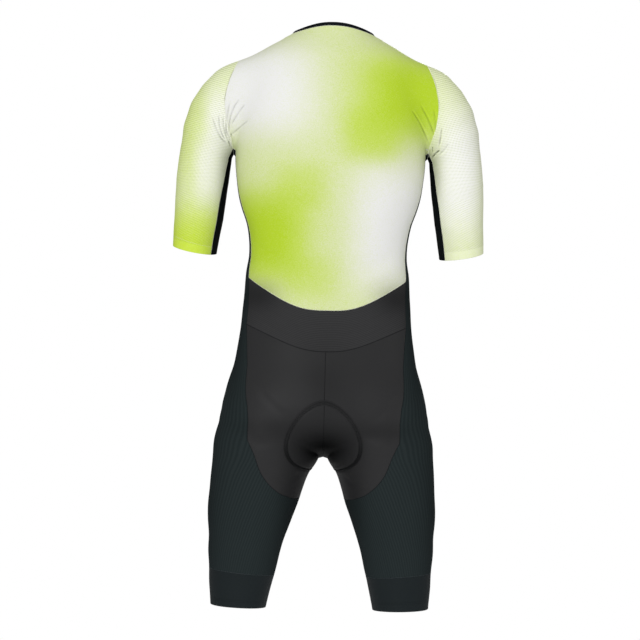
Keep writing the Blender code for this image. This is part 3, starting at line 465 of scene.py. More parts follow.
def legPoints(trunk):  # the left leg by row and column: down the outside, then the crotch columns
    crotchRing = trunk[-1]
    pivot = np.array(cut["crotchPivot"])
    columns, crotch = cut["legColumns"], cut["crotchColumns"]
    ends = [math.atan2(crotchRing[at, 1] - pivot[1], pivot[2] - crotchRing[at, 2]) for at in (-1, 0)]
    turns = np.linspace(*ends, crotch + 1)[1:-1]
    rays = np.column_stack([0 * turns, np.sin(turns), -np.cos(turns)])
    crotchLine = rayHit(np.tile(pivot, (len(turns), 1)), rays, reach=0.15)
    top = np.concatenate([crotchRing, crotchLine])
    offsets = top[:, :2] - np.column_stack(legMiddle(np.minimum(top[:, 2], cut["legRayTop"])))
    # turns count from the inner side of the leg, round by the back
    topTurns = np.unwrap(np.arctan2(offsets[:, 1], -offsets[:, 0]))
    seatStep = cut["seatEdgeTurn"] / (cut["backColumns"] + crotch / 2)
    outerStep = (360 - 2 * cut["seatEdgeTurn"]) / cut["sideColumns"]
    steps = [seatStep] * cut["backColumns"] + [outerStep] * cut["sideColumns"]
    steps += [seatStep] * (cut["backColumns"] + crotch - 1)
    seatTurns = np.radians(seatStep * crotch / 2 + running(steps))
    lowTurns = 2 * math.pi / columns * (crotch / 2 + np.arange(columns))
    fromInner = np.degrees(np.abs((seatTurns + math.pi) % (2 * math.pi) - math.pi))
    seatHeights = seatEdgeAt(fromInner)[0]
    band = cut["bandSeam"] - cut["bandSeamTilt"] * np.cos(lowTurns)
    hem = cut["legHem"] - cut["legHemTilt"] * np.cos(lowTurns)
    levels = (
        (topTurns, top[:, 2], seatTurns, seatHeights, cut["seatRows"]),
        (seatTurns, seatHeights, lowTurns, band, cut["thighRows"]),
        (lowTurns, band, lowTurns, hem, cut["bandRows"]),
    )
    starts, directions = [], []
    for upperTurns, upper, lowerTurns, lower, rows in levels:
        for row in range(1, rows + 1):
            share = row / rows
            turns = upperTurns * (1 - share) + lowerTurns * share
            heights = upper * (1 - share) + lower * share
            starts.append(np.column_stack([*legMiddle(np.minimum(heights, cut["legRayTop"])), heights]))
            directions.append(np.column_stack([-np.cos(turns), np.sin(turns), 0 * turns]))
    points = rayHit(np.concatenate(starts), np.concatenate(directions), reach=0.16)
    points = np.concatenate([top, points]).reshape(-1, columns, 3)
    return np.concatenate([points, points[:, :1]], axis=1)


trunk = trunkPoints()
leg = legPoints(trunk)
sleeve = sleevePoints()
print("form worked out:", trunk.shape, leg.shape, sleeve.shape)

# Creases on the back and the front, in millimetres: half width, depth, the share of that depth that stands
# up again as a ridge beside it, then the points down it (across, height, across, height ...).
creases = {
    "back": (
        (1.5, 1.3, 0.55, 174.1, -118, 176.5, -133.5, 179.6, -153.4, 179.6, -168, 171.8, -182.5),
        (1.5, 1.3, 0.6, 158.1, -112.7, 165.6, -124.2, 171.8, -139.5, 174.9, -158.1, 174.4, -173.7),
        (1.4, 1.2, 0.6, 147.2, -121.1, 156.5, -131.9, 165.6, -147.2, 171, -157.2),
        (1.5, 1.2, 0.6, 141.9, -149.6, 156.5, -160.3, 170.3, -173.4),
        (1.5, 1.2, 0.55, 204, -144.1, 198, -161, 187.1, -180.9, 176.8, -188),
        (1.4, 1.2, 0.55, 192.6, -139.3, 190.2, -165.6, 178.4, -186.4),
        (1.4, 1, 0.5, 184.9, -141, 184, -161.7, 175.4, -184),
        (1.5, 1.5, 0.6, -135.9, -125.6, -147.4, -140.2, -157.2, -156.7, -168.7, -181.5),
        (1.5, 1.4, 0.6, -150.7, -114.7, -162.2, -133.6, -170.3, -150.2, -177, -169.1),
        (1.4, 1, 0.5, -173.7, -121.3, -177.8, -141.9, -177.8, -160),
        (1.5, 1.3, 0.55, -188.5, -152.6, -187.7, -166.5, -183.5, -186.3),
        (1.4, 1, 0.4, -201.2, -178.9, -194.4, -190.1, -185.8, -197.8),
        (1.3, 2.6, 0.1, -186.6, -190.1, -178.9, -196.4, -173.7, -203),
        (1.2, 2.2, 0.1, -174.1, -184.9, -174.1, -188.3, -174.4, -193.5),
        (1.1, 2, 0.1, 170.5, -170.6, 170.6, -174.1, 171, -178),
        (1.2, 2.2, 0.1, 174.8, -183.2, 172.7, -188.2, 171.7, -192.6),
        (6, 1.3, 0.3, 117.5, -601.7, 92.9, -626.1, 64.5, -652.4),
        (6, 1, 0.3, -130.7, -612.3, -106.6, -633, -79.1, -657),
        (3.6, 1, 0.4, 44.7, -688, 24.1, -694.9, 3.4, -700.9),
        (3.6, 1, 0.4, -44.7, -688, -27.5, -695.7, -6.9, -700),
        (3, 0.9, 0.4, 37.8, -706.9, 20.6, -712.1, 6.9, -715.5),
        (2.6, 0.8, 0.4, -37.8, -721.5, -29.2, -731, -17.2, -736.2),
        (2.6, 0.7, 0.4, -51.6, -715.5, -41.3, -729.3, -27.5, -739.6),
        (7.5, 2.2, 0.25, 125.6, -696.6, 103.2, -697.5, 79.1, -694, 60.2, -689.7),
        (7.5, 2.2, 0.25, -68.8, -677.7, -89.4, -684.6, -110.1, -690.6, -130.7, -694),
        (5.5, 0.8, 0.3, 129, -388.7, 101.5, -405.9, 70.5, -418),
        (5.5, 0.8, 0.3, -132.4, -399, -104.9, -414.5, -74, -424.8),
        (5, 0.6, 0.3, 123.8, -361.2, 104.9, -371.5, 80.8, -376.7),
        (5, 1, 0.3, 34.4, -746.5, 55, -760.2, 82.6, -767.1),
        (5, 1, 0.3, -36.1, -753.4, -55, -767.1, -82.6, -774),
        (5, 0.7, 0.3, 259.7, -290.7, 235.6, -302.7, 208.1, -306.2),
        (5, 0.7, 0.3, -259.7, -302.7, -232.2, -313, -208.1, -314.8),
    ),
    "front": (
        (1.6, 1.3, 0.5, 172, -120, 173.5, -138, 174.5, -156, 170, -180),
        (1.6, 1.3, 0.5, 156, -115, 163, -131, 169, -150, 170, -170),
        (1.6, 1.1, 0.5, 145, -140, 156, -152, 166, -168),
        (1.6, 1.2, 0.5, 206, -142, 198, -160, 185, -180),
        (1.6, 1.3, 0.5, -170, -118, -173, -135, -174, -153, -169, -178),
        (1.6, 1.3, 0.5, -153, -122, -161, -137, -168, -157),
        (1.6, 1, 0.5, -142, -148, -154, -158, -165, -173),
        (1.6, 1.2, 0.5, -208, -145, -199, -162, -186, -182),
        (6, 0.9, 0.3, 118, -401, 85, -420, 45, -429),
        (6, 0.9, 0.3, -120, -396, -88, -415, -50, -425),
        (5, 1.1, 0.3, 90, -638, 60, -660, 33, -685),
        (5, 1.1, 0.3, -93, -635, -64, -658, -36, -683),
        (5, 0.9, 0.3, 48, -735, 75, -748, 105, -753),
        (5, 0.9, 0.3, -45, -738, -72, -750, -100, -756),
    ),
    # the broad ones that the frame has too: two ends, half width, depth
    "broad": (
        ((0.15, 0.11, -0.215), (0.105, 0.125, -0.12), 0.013, 0.0022),
        ((0.14, 0.105, -0.245), (0.07, 0.12, -0.19), 0.015, 0.002),
        ((-0.15, 0.11, -0.212), (-0.112, 0.125, -0.105), 0.014, 0.0022),
        ((-0.142, 0.105, -0.24), (-0.08, 0.12, -0.2), 0.013, 0.0018),
        ((0.185, 0.045, -0.18), (0.235, 0.04, -0.12), 0.012, 0.0018),
        ((-0.185, 0.045, -0.178), (-0.238, 0.04, -0.13), 0.013, 0.0018),
        ((0.15, -0.09, -0.2), (0.085, -0.11, -0.13), 0.014, 0.002),
        ((-0.15, -0.09, -0.205), (-0.08, -0.11, -0.14), 0.014, 0.002),
        ((0.12, 0.07, -0.385), (0.05, 0.09, -0.42), 0.014, 0.0018),
        ((-0.12, 0.07, -0.375), (-0.045, 0.09, -0.405), 0.015, 0.0018),
        ((0.06, -0.09, -0.64), (0.12, -0.08, -0.6), 0.014, 0.0018),
        ((-0.055, -0.09, -0.645), (-0.115, -0.08, -0.608), 0.013, 0.0018),
    ),
    "fade": 0.6,  # how much shallower a broad one is at its far end
    "pointsPerSpan": 10,
    "roundings": 18,  # passes that round its corners
    "reach": (5, 0.009),  # how far from its line it is worked out: half widths, or metres if that is more
    "ridgeAt": (2.1, 1.1),  # middle and half width of the ridge beside it, in half widths
    "lowSide": (0.65, 0.35),  # the ridge's share on both sides, and what one side has more
    "taper": (4, 0.8),  # it runs out over the last quarter of its length at each end, this steeply
    # the share of its depth that comes and goes, the radians along it, and those for each metre of its width
    "swing": (0.2, 9, 5000),
    "shaded": 0.002,  # those narrower than this have shade drawn in them
    "shows": (0.8, 2.6),  # in half widths: the largest face that shows it, and how far out that holds
    "unevenness": 0.00035,
    # its radians a metre across, how far and how fast they sway with height, and those of height and depth
    "waves": (61, 1.3, 47, 53, 39),
}

# Painted shade where light hardly reaches: the hollow where the legs meet, under the arms, the seat's middle
# and lower fold, the waistband's ends, the hips and the legs' sides.
shades = {
    # middle: distance from the centre plane, along y, height; half size the same three ways; depth of shade
    "paintedShadePatches": (
        (0.0, 0.03, -0.702, 0.050, 0.20, 0.034, 1.0),
        (0.1790, 0.02, -0.232, 0.013, 0.20, 0.050, 0.32),
        (0.1680, 0.03, -0.205, 0.010, 0.20, 0.022, 0.30),
        (0.0, 0.10, -0.600, 0.048, 0.20, 0.080, 0.26),
        (0.100, 0.10, -0.672, 0.046, 0.20, 0.016, 0.24),
        (0.118, 0.08, -0.446, 0.036, 0.20, 0.026, 0.42),
        (0.158, 0.02, -0.500, 0.018, 0.20, 0.120, 0.34),
        (0.202, 0.02, -0.780, 0.022, 0.20, 0.160, 0.32),
        (0.052, 0.03, -0.800, 0.022, 0.20, 0.100, 0.34),
    ),
    "fold": 0.40,  # painted shade in a fold as deep as foldDepth, and in deeper ones up to foldMost times as much
    "foldDepth": 0.0013,
    "foldMost": 2.2,
    "ridge": 0.30,  # painted highlight: how much paler the cloth is painted on the ridge beside a fold
    "ridgeAt": (1.7, 0.8),  # middle and half width of that, in half widths of the fold
    "seamEdge": -0.45,  # painted light: printed cloth is painted paler where it turns under at a seam, against the shade there
}

seams = {
    "edgeInset": 0.0010,
    "edgeRoll": 0.00012,  # how far a cut edge turns under beside its seam
    "edgeGap": 0.00005,
    "zipEase": 0.020,  # how far from the zip the cloth gives way for it
    "leastSheet": 0.011,  # the smallest width or length that a panel's flat cloth is given with
    "leastShare": 0.301,  # and the smallest share of its rectangle
    "mitre": 0.3,  # keeps the edge's points at sharp corners from moving far
}

pad = {
    "middle": -0.700,  # height of its widest line
    "low": 0.0475,  # from there down to its lower edge on the thighs
    # at the back and at the front: half width, and from the middle up to its top
    "back": (0.0660, 0.0775),
    "front": (0.0400, 0.0470),
    "turnsFrom": -0.030,  # where along y the one runs into the other
    "turnsTo": 0.045,
    "roundness": (1.68, 2.3),  # of the outline above the widest line and below it
    "lift": 0.0010,  # how far it pushes the seat out
    "liftSlope": 0.0035,
    "borderWidth": 0.0060,  # between its two stitched lines
    # painted shade in the band between its two stitched lines
    "borderShade": 0.58,
    "shadeTop": -0.670,  # the border's painted shade is lightest there, and darkest a fade lower
    "shadeFade": 0.05,
    "lineDepth": 0.0010,
    "lineHalfWidth": 0.0013,
    "edgeThickness": 0.0012,
    "thickness": 0.0030,
    "swellsOver": 0.0060,  # how far in from its edge it has most of its thickness
    "channelDepth": 0.0014,
    "channelHalfWidth": 0.0022,
    "widestGap": 0.012,  # between two points of its outline
    "fineMargin": 0.002,  # how far beyond its border the cloth stays finely divided
    "shadeNarrower": 1.6,  # the shade's half width is the border's width over this
    "outerStitches": 0.0005,  # in from its outline
    "channels": (0.020, 0.034),  # grooves, by distance in from the outline
}

panelNames = ("hole", "collarBand", "backPanel", "frontPanel", "waistBand", "seatPanel", "lowerFront")
panelNames += ("sidePanel", "legGripper", "sleeve", "underarmStrip")


def markPanels():  # which panel each cell of the trunk, the leg and the sleeve belongs to
    yoke, hole, body, band, lower = cut["ringRows"][1:6]
    first, last = cut["sideEnds"]
    number = {name: index for index, name in enumerate(panelNames)}
    onTrunk = np.zeros((trunk.shape[0] - 1, trunk.shape[1] - 1), int)
    onTrunk[:, last:] = number["lowerFront"]
    onTrunk[:band, last:] = number["frontPanel"]
    onTrunk[:, :first] = number["seatPanel"]
    onTrunk[:lower, :first] = number["waistBand"]
    onTrunk[:band, :first] = number["backPanel"]
    onTrunk[body:, first:last] = number["sidePanel"]
    onTrunk[hole:body, first:last] = number["hole"]
    onTrunk[:hole, : cut["yokeMiddle"]] = number["backPanel"]
    onTrunk[:hole, cut["yokeMiddle"] :] = number["frontPanel"]
    onTrunk[:yoke] = number["collarBand"]
    onLeg = np.full((leg.shape[0] - 1, leg.shape[1] - 1), number["legGripper"])
    onLeg[: cut["bandRow"]] = number["sidePanel"]
    onLeg[: cut["seatRows"]] = number["seatPanel"]
    onLeg[: cut["seatRows"], last : cut["crotchMiddle"]] = number["lowerFront"]
    onLeg[: cut["seatRows"], first:last] = number["sidePanel"]
    onSleeve = np.full((sleeve.shape[0] - 1, sleeve.shape[1] - 1), number["sleeve"])
    onSleeve[:, slice(*cut["stripEnds"])] = number["underarmStrip"]
    return onTrunk, onLeg, onSleeve


sleeveKnit = {
    "radius": 0.046,  # of the arm that it is laid out round
    "bias": 0.62,  # it turns off the level towards the elbow
    "biasLength": 0.16,
}
firstPlainRow = 60  # the trunk's cloth is as wide as its rows below the armholes


def flatPattern(points, rowFirst=0):  # each point's place on the flat cloth, in metres
    down = np.linalg.norm(np.diff(points, axis=0), axis=2).mean(axis=1)
    across = np.linalg.norm(np.diff(points, axis=1), axis=2)[rowFirst:].mean(axis=0)
    return np.stack(np.meshgrid(running(np.full(len(across), across.mean())), -running(down)), -1)


def roundArm(points):  # the sleeve's cloth laid out round the arm, so that its knit runs level
    top = np.array((cut["sleeveStart"], *cut["armholeMiddle"]))
    axis = unit(np.array(cut["sleeveHem"]) - top)
    outer = unit(np.array((1.0, 0, 0)) - axis * axis[0])
    offsets = points - top
    along = offsets @ axis
    around = np.arctan2(offsets @ np.cross(axis, outer), offsets @ outer) * sleeveKnit["radius"]
    bias = sleeveKnit["bias"] * np.clip(along / sleeveKnit["biasLength"], 0, 1) ** 2
    return np.stack([around, bias * around - along], -1)


def hemGap(points):  # how far each point lies from the nearer sleeve's hem
    return np.linalg.norm(folded(points)[:, None] - sleeve[-1][None], axis=2).min(axis=1)


def placeGrid(suit, points, panels, flat):
    rows, columns = panels.shape
    made = bmesh.ops.create_grid(suit, x_segments=columns, y_segments=rows, size=1)["verts"]
    place = {}
    for vert in made:
        place[vert] = round((1 - vert.co.y) / 2 * rows), round((vert.co.x + 1) / 2 * columns)
    panel = suit.faces.layers.int["panel"]
    pattern = suit.loops.layers.uv["flatCloth"]
    for face in {face for vert in made for face in vert.link_faces}:
        corners = [place[loop.vert] for loop in face.loops]
        face[panel] = int(panels[tuple(np.min(corners, axis=0))])
        for loop, corner in zip(face.loops, corners):
            loop[pattern].uv = flat[corner]
    for vert in made:
        vert.co = points[place[vert]]


def newCloth():
    mesh = bmesh.new()
    mesh.faces.layers.int.new("panel")
    mesh.loops.layers.uv.new("flatCloth")
    return mesh


def halfSuit():  # all the cloth of the left half on the form, each face marked with its panel
    suit = newCloth()
    onTrunk, onLeg, onSleeve = panelMarks
    onTrunkCloth = flatPattern(trunk, firstPlainRow)
    placeGrid(suit, trunk, onTrunk, onTrunkCloth)
    placeGrid(suit, leg, onLeg, flatPattern(leg) + np.array((0, onTrunkCloth[-1, 0, 1])))
    placeGrid(suit, sleeve, onSleeve, roundArm(sleeve))
    panel = suit.faces.layers.int["panel"]
    bmesh.ops.delete(suit, geom=[face for face in suit.faces if face[panel] == 0], context="FACES")
    bmesh.ops.remove_doubles(suit, verts=suit.verts, dist=1e-5)
    bmesh.ops.recalc_face_normals(suit, faces=suit.faces)
    faceOutward(suit)
    return suit


def positions(mesh):
    return np.array([vert.co for vert in mesh.verts])


def faceOutward(mesh):
    mesh.normal_update()
    face = next(iter(mesh.faces))
    middle = np.array(face.calc_center_median())[None]
    if Vector(outward(middle)[0]).dot(face.normal) < 0:
        bmesh.ops.reverse_faces(mesh, faces=mesh.faces)


def cutOut(*panels):  # a copy of the left half's cloth with these panels only
    mesh = suit.copy()
    panel = mesh.faces.layers.int["panel"]
    wanted = {panelNames.index(name) for name in panels}
    bmesh.ops.delete(mesh, geom=[face for face in mesh.faces if face[panel] not in wanted], context="FACES")
    return mesh


def addRightHalf(mesh):
    bmesh.ops.mirror(mesh, geom=mesh.verts[:] + mesh.edges[:] + mesh.faces[:], axis="X", merge_dist=1e-5)
    bmesh.ops.recalc_face_normals(mesh, faces=mesh.faces)
    faceOutward(mesh)


def mirrored(route):
    return route * (-1, 1, 1)


def lineAt(route, stations, places):  # where on a line some places are, measured as its stations are
    return np.column_stack([np.interp(places, stations, route[:, axis]) for axis in range(3)])


def layCreases():  # puts the creases' points on the form
    laid = []
    for side, toward in (("back", 1.0), ("front", -1.0)):
        for halfWidth, depth, ridge, *places in creases[side]:
            rough = np.insert(np.array(places).reshape(-1, 2) / 1000, 1, 0, axis=1)
            count = creases["pointsPerSpan"] * (len(rough) - 1) + 1
            rounded = lineAt(rough, np.arange(len(rough)), np.linspace(0, len(rough) - 1, count))
            for _ in range(creases["roundings"]):
                rounded[1:-1] = (rounded[:-2] + 2 * rounded[1:-1] + rounded[2:]) / 4
            hits = rayHit(rounded, np.tile((0, toward, 0), (count, 1)), reach=0.2)
            laid.append((hits, halfWidth / 1000, depth / 1000, ridge))
    return laid


def bell(distance):
    return np.exp(-(distance**2))


def creaseDepth(points, out):
    # how far the creases press the cloth in, the shade painted in them with the highlight painted beside
    # them, and how small a face shows them
    depth = np.zeros(len(points))
    shade = np.zeros(len(points))
    fineness = np.full(len(points), 1.0)
    for start, end, halfWidth, deepest in creases["broad"]:
        share, offset = fromSegment(points, np.array(start), np.array(end))
        gap = np.linalg.norm(offset, axis=1)
        depth += deepest * bell(gap / halfWidth) * (1 - creases["fade"] * share)
    for route, halfWidth, deepest, ridge in laidCreases:
        margin = max(creases["reach"][0] * halfWidth, creases["reach"][1])
        low, high = route.min(axis=0) - margin, route.max(axis=0) + margin
        close = np.flatnonzero(np.all((points > low) & (points < high), axis=1))
        if not len(close):
            continue
        here, outHere = points[close], out[close]
        nearest = np.full(len(close), np.inf)
        side, share = np.zeros((2, len(close)))
        for index, (start, end) in enumerate(zip(route[:-1], route[1:])):
            t, offset = fromSegment(here, start, end)
            gap = np.linalg.norm(offset, axis=1)
            better = gap < nearest
            turned = np.sign(np.einsum("ij,ij->i", np.cross(end - start, offset), outHere))
            side = np.where(better, turned, side)
            share = np.where(better, (index + t) / (len(route) - 1), share)
            nearest = np.minimum(gap, nearest)
        quarters, power = creases["taper"]
        taper = np.clip(np.minimum(share, 1 - share) * quarters, 0, 1) ** power
        swing, turns, phase = creases["swing"]
        uneven = 1 - swing + swing * np.sin(turns * share + phase * halfWidth)
        far = nearest / halfWidth
        beside = bell((far - creases["ridgeAt"][0]) / creases["ridgeAt"][1])
        raised = ridge * beside * (creases["lowSide"][0] + creases["lowSide"][1] * side)
        depth[close] += deepest * uneven * taper * (bell(far) - raised)
        # narrow creases also get painted shade in them and a painted highlight on the ridge beside them
        if halfWidth < creases["shaded"]:
            strength = min(deepest / shades["foldDepth"], shades["foldMost"])
            dark = shades["fold"] * np.exp(-1.2 * far**2) * strength
            pale = shades["ridge"] * bell((far - shades["ridgeAt"][0]) / shades["ridgeAt"][1]) * (side > 0)
            mine = (dark - pale) * uneven * taper
            shade[close] = np.where(np.abs(mine) > np.abs(shade[close]), mine, shade[close])
        largest, holds = creases["shows"]
        needed = halfWidth * (largest + np.maximum(far - holds, 0))
        fineness[close] = np.minimum(fineness[close], needed)
    x, y, z = points.T
    across, drift, sway, high, deep = creases["waves"]
    wave = np.sin(x * across + drift * np.sin(z * sway)) * np.sin(z * high + y * deep)
    return depth + creases["unevenness"] * wave, shade, fineness


def beyondPad(points):  # how far each point lies beyond the pad's outline
    share = np.clip((points[:, 1] - pad["turnsFrom"]) / (pad["turnsTo"] - pad["turnsFrom"]), 0, 1)
    share = share * share * (3 - 2 * share)
    halfWidth, rise = (pad["front"][i] + (pad["back"][i] - pad["front"][i]) * share for i in (0, 1))
    above = points[:, 2] - pad["middle"]
    up = above / np.where(above > 0, rise, pad["low"])
    power = np.where(above > 0, *pad["roundness"])
    size = (np.abs(points[:, 0] / halfWidth) ** power + np.abs(up) ** power) ** (1 / power)
    return (size - 1) * (halfWidth + rise) / 2


def padRelief(points):  # how far the pad's edge and its stitched lines move the seat's cloth, inwards
    beyond = beyondPad(points)
    rise = np.clip(-beyond / pad["liftSlope"], 0, 1)
    relief = -pad["lift"] * rise * rise * (3 - 2 * rise)
    for line in (0, -pad["borderWidth"]):
        relief += pad["lineDepth"] * bell((beyond - line) / pad["lineHalfWidth"])
    return relief


def clothDepth(points, out, overPad):
    depth = creaseDepth(points, out)[0]
    return depth + padRelief(points) if overPad else depth


def shadeAt(points, overPad):  # painted shade on the cloth, in its folds, its shaded patches and the pad's border, and painted highlight (below nothing) beside folds
    shade = creaseDepth(points, outward(points))[1]
    for x, y, z, across, deep, high, most in shades["paintedShadePatches"]:
        gap = (folded(points) - (x, y, z)) / (across, deep, high)
        shade = 1 - (1 - shade) * (1 - most * np.exp(-(gap**2).sum(axis=1)))
    # painted shade in the band between the pad's stitched lines, darkest low down
    if overPad:
        beyond = beyondPad(points) + pad["borderWidth"] / 2
        low = np.clip((pad["shadeTop"] - points[:, 2]) / pad["shadeFade"], 0.25, 1)
        border = np.exp(-((beyond / pad["borderWidth"] * pad["shadeNarrower"]) ** 4))
        shade += (1 - shade) * pad["borderShade"] * low * border
    return shade


def refine(mesh, overPad, rounds=3):  # smaller faces where the fine creases and the pad's outline run
    for _ in range(rounds):
        middles = np.array([face.calc_center_median() for face in mesh.faces])
        sizes = np.sqrt([face.calc_area() for face in mesh.faces])
        fineness = creaseDepth(middles, outward(middles))[2]
        if overPad:
            beyond = np.abs(beyondPad(middles) + pad["borderWidth"] / 2) - pad["borderWidth"] / 2
            margin = np.maximum(beyond - pad["fineMargin"], 0)
            fineness = np.minimum(fineness, pad["lineHalfWidth"] + margin)
        chosen = [face for face, pick in zip(mesh.faces[:], sizes > fineness) if pick]
        if not chosen:
            return
        before = set(mesh.verts)
        edges = list({edge for face in chosen for edge in face.edges})
        bmesh.ops.subdivide_edges(mesh, edges=edges, cuts=1, use_grid_fill=True)
        added = [vert for vert in mesh.verts if vert not in before]
        middleVerts = [vert for vert in added if abs(vert.co.x) < 1e-6]
        for vert, place in zip(added, ontoForm(np.array([vert.co for vert in added]))):
            vert.co = place
        for vert in middleVerts:
            vert.co.x = 0


def drawInEdges(mesh, distance):
    mesh.normal_update()
    moves = {}
    for edge in mesh.edges:
        if edge.is_boundary:
            face = edge.link_faces[0]
            side = (edge.verts[1].co - edge.verts[0].co).cross(face.normal).normalized()
            if side.dot(face.calc_center_median() - edge.verts[0].co) < 0:
                side.negate()
            for vert in edge.verts:
                moves.setdefault(vert, []).append(side)
    for vert, sides in moves.items():
        vert.co += distance * (sides[0] + sides[-1]) / max(1 + sides[0].dot(sides[-1]), seams["mitre"])


def openAtZip(mesh):  # eases the cloth beside the centre front back, to leave the zip's slot
    beside = [vert for vert in mesh.verts if vert.co.y < 0 and vert.co.x < seams["zipEase"]]
    kept = 1 - cut["zipSlot"] / 2 / seams["zipEase"]
    places = np.array([(cut["zipSlot"] / 2 + vert.co.x * kept, vert.co.y, vert.co.z) for vert in beside])
    for vert, place in zip(beside, ontoForm(places)):
        vert.co = place


def innerWall(mesh):  # doubles the cloth, and gives the points of its inner side
    made = bmesh.ops.extrude_face_region(mesh, geom=mesh.faces[:], use_keep_orig=True)
    return {item for item in made["geom"] if isinstance(item, bmesh.types.BMVert)}


def finishFaces(mesh):
    for face in mesh.faces:
        face.smooth = True
    bmesh.ops.recalc_face_normals(mesh, faces=mesh.faces)


def thicken(mesh, overPad):  # presses the creases in, rolls the edges under and gives the cloth its wall
    rolled = mesh.verts.layers.float["rolled"]
    inner = innerWall(mesh)
    points = positions(mesh)
    out = outward(points)
    for vert, point, way, below in zip(mesh.verts, points, out, clothDepth(points, out, overPad)):
        below += vert[rolled] * seams["edgeRoll"] + (cut["wall"] if vert in inner else 0)
        vert.co = point - way * below
    for face in mesh.faces:
        if all(vert in inner for vert in face.verts):
            face.material_index = 1
    finishFaces(mesh)


def placePiece(name, data, stands=(), body="suit"):
    piece = bpy.data.objects.new(name, data)
    bpy.context.scene.collection.objects.link(piece)
    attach(piece, body)
    if stands:
        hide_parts(*stands)
    return piece


def addObject(name, mesh, materials, stands, body="suit"):
    data = bpy.data.meshes.new(name)
    mesh.to_mesh(data)
    mesh.free()
    for finish in materials:
        data.materials.append(finish)
    return placePiece(name, data, stands, body)


def setOnVerts(mesh, name, values):  # gives each point of the cloth a number that its material reads
    layer = mesh.verts.layers.float.new(name)
    for vert, value in zip(mesh.verts, values):
        vert[layer] = value


def clothPiece(source, side, materials, nodes, zipEdge, overPad):
    mesh = cutOut(source)
    if zipEdge:
        openAtZip(mesh)
    if not side:
        addRightHalf(mesh)
    if side == "Right":
        bmesh.ops.transform(mesh, matrix=Matrix.Scale(-1, 4, (1, 0, 0)), verts=mesh.verts)
        bmesh.ops.reverse_faces(mesh, faces=mesh.faces)
    drawInEdges(mesh, seams["edgeGap"])
    rolled = mesh.verts.layers.float.new("rolled")
    bmesh.ops.inset_region(mesh, faces=mesh.faces[:], thickness=seams["edgeInset"], use_boundary=True)
    for vert in mesh.verts:
        vert[rolled] = 1.0 if vert.is_boundary else 0.0
    refine(mesh, overPad)
    area = sum(face.calc_area() for face in mesh.faces)
    places = positions(mesh)
    shade = shadeAt(places, overPad)
    # painted light: the turned-under edges of printed cloth are painted paler, against the shade that falls
    # there
    if source in ("sleeve", "backPanel", "frontPanel"):
        turnedUnder = [vert[rolled] > 0 for vert in mesh.verts]
        shade = np.where(turnedUnder, shades["seamEdge"], shade)
    setOnVerts(mesh, "limeShare", limeShare(places, printFade["sleeve" if source == "sleeve" else "body"]))
    setOnVerts(mesh, "paintedShadeAndHighlight", shade)
    if source == "sleeve":
        setOnVerts(mesh, "hemGap", hemGap(places))
    thicken(mesh, overPad)
    piece = addObject(source + side, mesh, materials, nodes)
    width, length = flatSize(source, 1 if side else 2)
    area = min(max(area, seams["leastShare"] * width * length), width * length)
    print(f"{piece.name}: {len(piece.data.polygons)} faces, {width:.3f} x {length:.3f} m, {area:.4f} m2")


def flatSize(source, copies):  # the widest row and the longest column of a panel's cloth
    number = panelNames.index(source)
    widest = 0
    longest = np.zeros(cut["legColumns"])
    for points, marks in zip((trunk, leg, sleeve), panelMarks):
        mine = marks == number
        across = np.linalg.norm(np.diff(points, axis=1), axis=2)[:-1]
        down = np.linalg.norm(np.diff(points, axis=0), axis=2)[:, :-1]
        widest = max(widest, (across * mine).sum(axis=1).max())
        longest[: marks.shape[1]] += (down * mine).sum(axis=0)
    return max(copies * widest, seams["leastSheet"]), max(longest.max(), seams["leastSheet"])


# The print is a soft fade between pale grey and lime: blurred blocks of more or less lime on a middling
# ground.
printFade = {
    "ground": 0.44,
    "firmness": 3.4,  # 2 fades like a bell, more gives a flatter middle and a quicker edge
    # middle: across, along y, height; half size the same three ways; share of lime there
    "body": (
        (0.135, 0.10, -0.096, 0.108, 0.20, 0.082, 0.00),
        (-0.118, 0.10, -0.325, 0.080, 0.20, 0.110, 0.00),
        (-0.068, 0.10, -0.170, 0.050, 0.16, 0.045, 0.74),
        (0.050, 0.10, -0.262, 0.045, 0.16, 0.040, 0.66),
        (0.030, 0.10, -0.415, 0.045, 0.16, 0.036, 0.62),
        (-0.150, 0.10, -0.102, 0.106, 0.20, 0.072, 1.00),
        (0.122, 0.10, -0.345, 0.088, 0.20, 0.076, 1.00),
        (-0.120, -0.10, -0.120, 0.100, 0.10, 0.084, 0.00),
        (0.110, -0.10, -0.330, 0.080, 0.10, 0.100, 0.00),
        (0.122, -0.10, -0.120, 0.090, 0.10, 0.074, 1.00),
        (-0.110, -0.10, -0.335, 0.080, 0.10, 0.078, 1.00),
    ),
    "sleeve": (
        (0.262, 0.00, -0.150, 0.046, 0.12, 0.125, 0.66),
        (0.186, 0.02, -0.170, 0.026, 0.12, 0.068, 0.08),
        (0.200, 0.01, -0.240, 0.030, 0.12, 0.058, 0.14),
        (0.248, 0.00, -0.388, 0.086, 0.12, 0.092, 1.00),
        (-0.222, 0.00, -0.225, 0.040, 0.12, 0.104, 0.00),
    ),
}


def limeShare(points, blocks):
    share = np.full(len(points), printFade["ground"])
    for x, y, z, across, deep, high, target in blocks:
        gap = np.abs((points - (x, y, z)) / (across, deep, high)) ** printFade["firmness"]
        share += np.exp(-gap.sum(axis=1)) * (target - share)
    return share


def linear(code):  # an sRGB hex colour as linear values
    channels = [int(code[place : place + 2], 16) / 255 for place in (1, 3, 5)]
    return (*[c / 12.92 if c <= 0.04045 else ((c + 0.055) / 1.055) ** 2.4 for c in channels], 1.0)


def addNode(tree, kind, sockets=(), **settings):  # each socket gets a value, or a link from another socket
    node = tree.nodes.new("ShaderNode" + kind)
    for name, value in settings.items():
        setattr(node, name, value)
    for name, value in dict(sockets).items():
        if isinstance(value, bpy.types.NodeSocket):
            tree.links.new(value, node.inputs[name])
        else:
            node.inputs[name].default_value = value
    return node


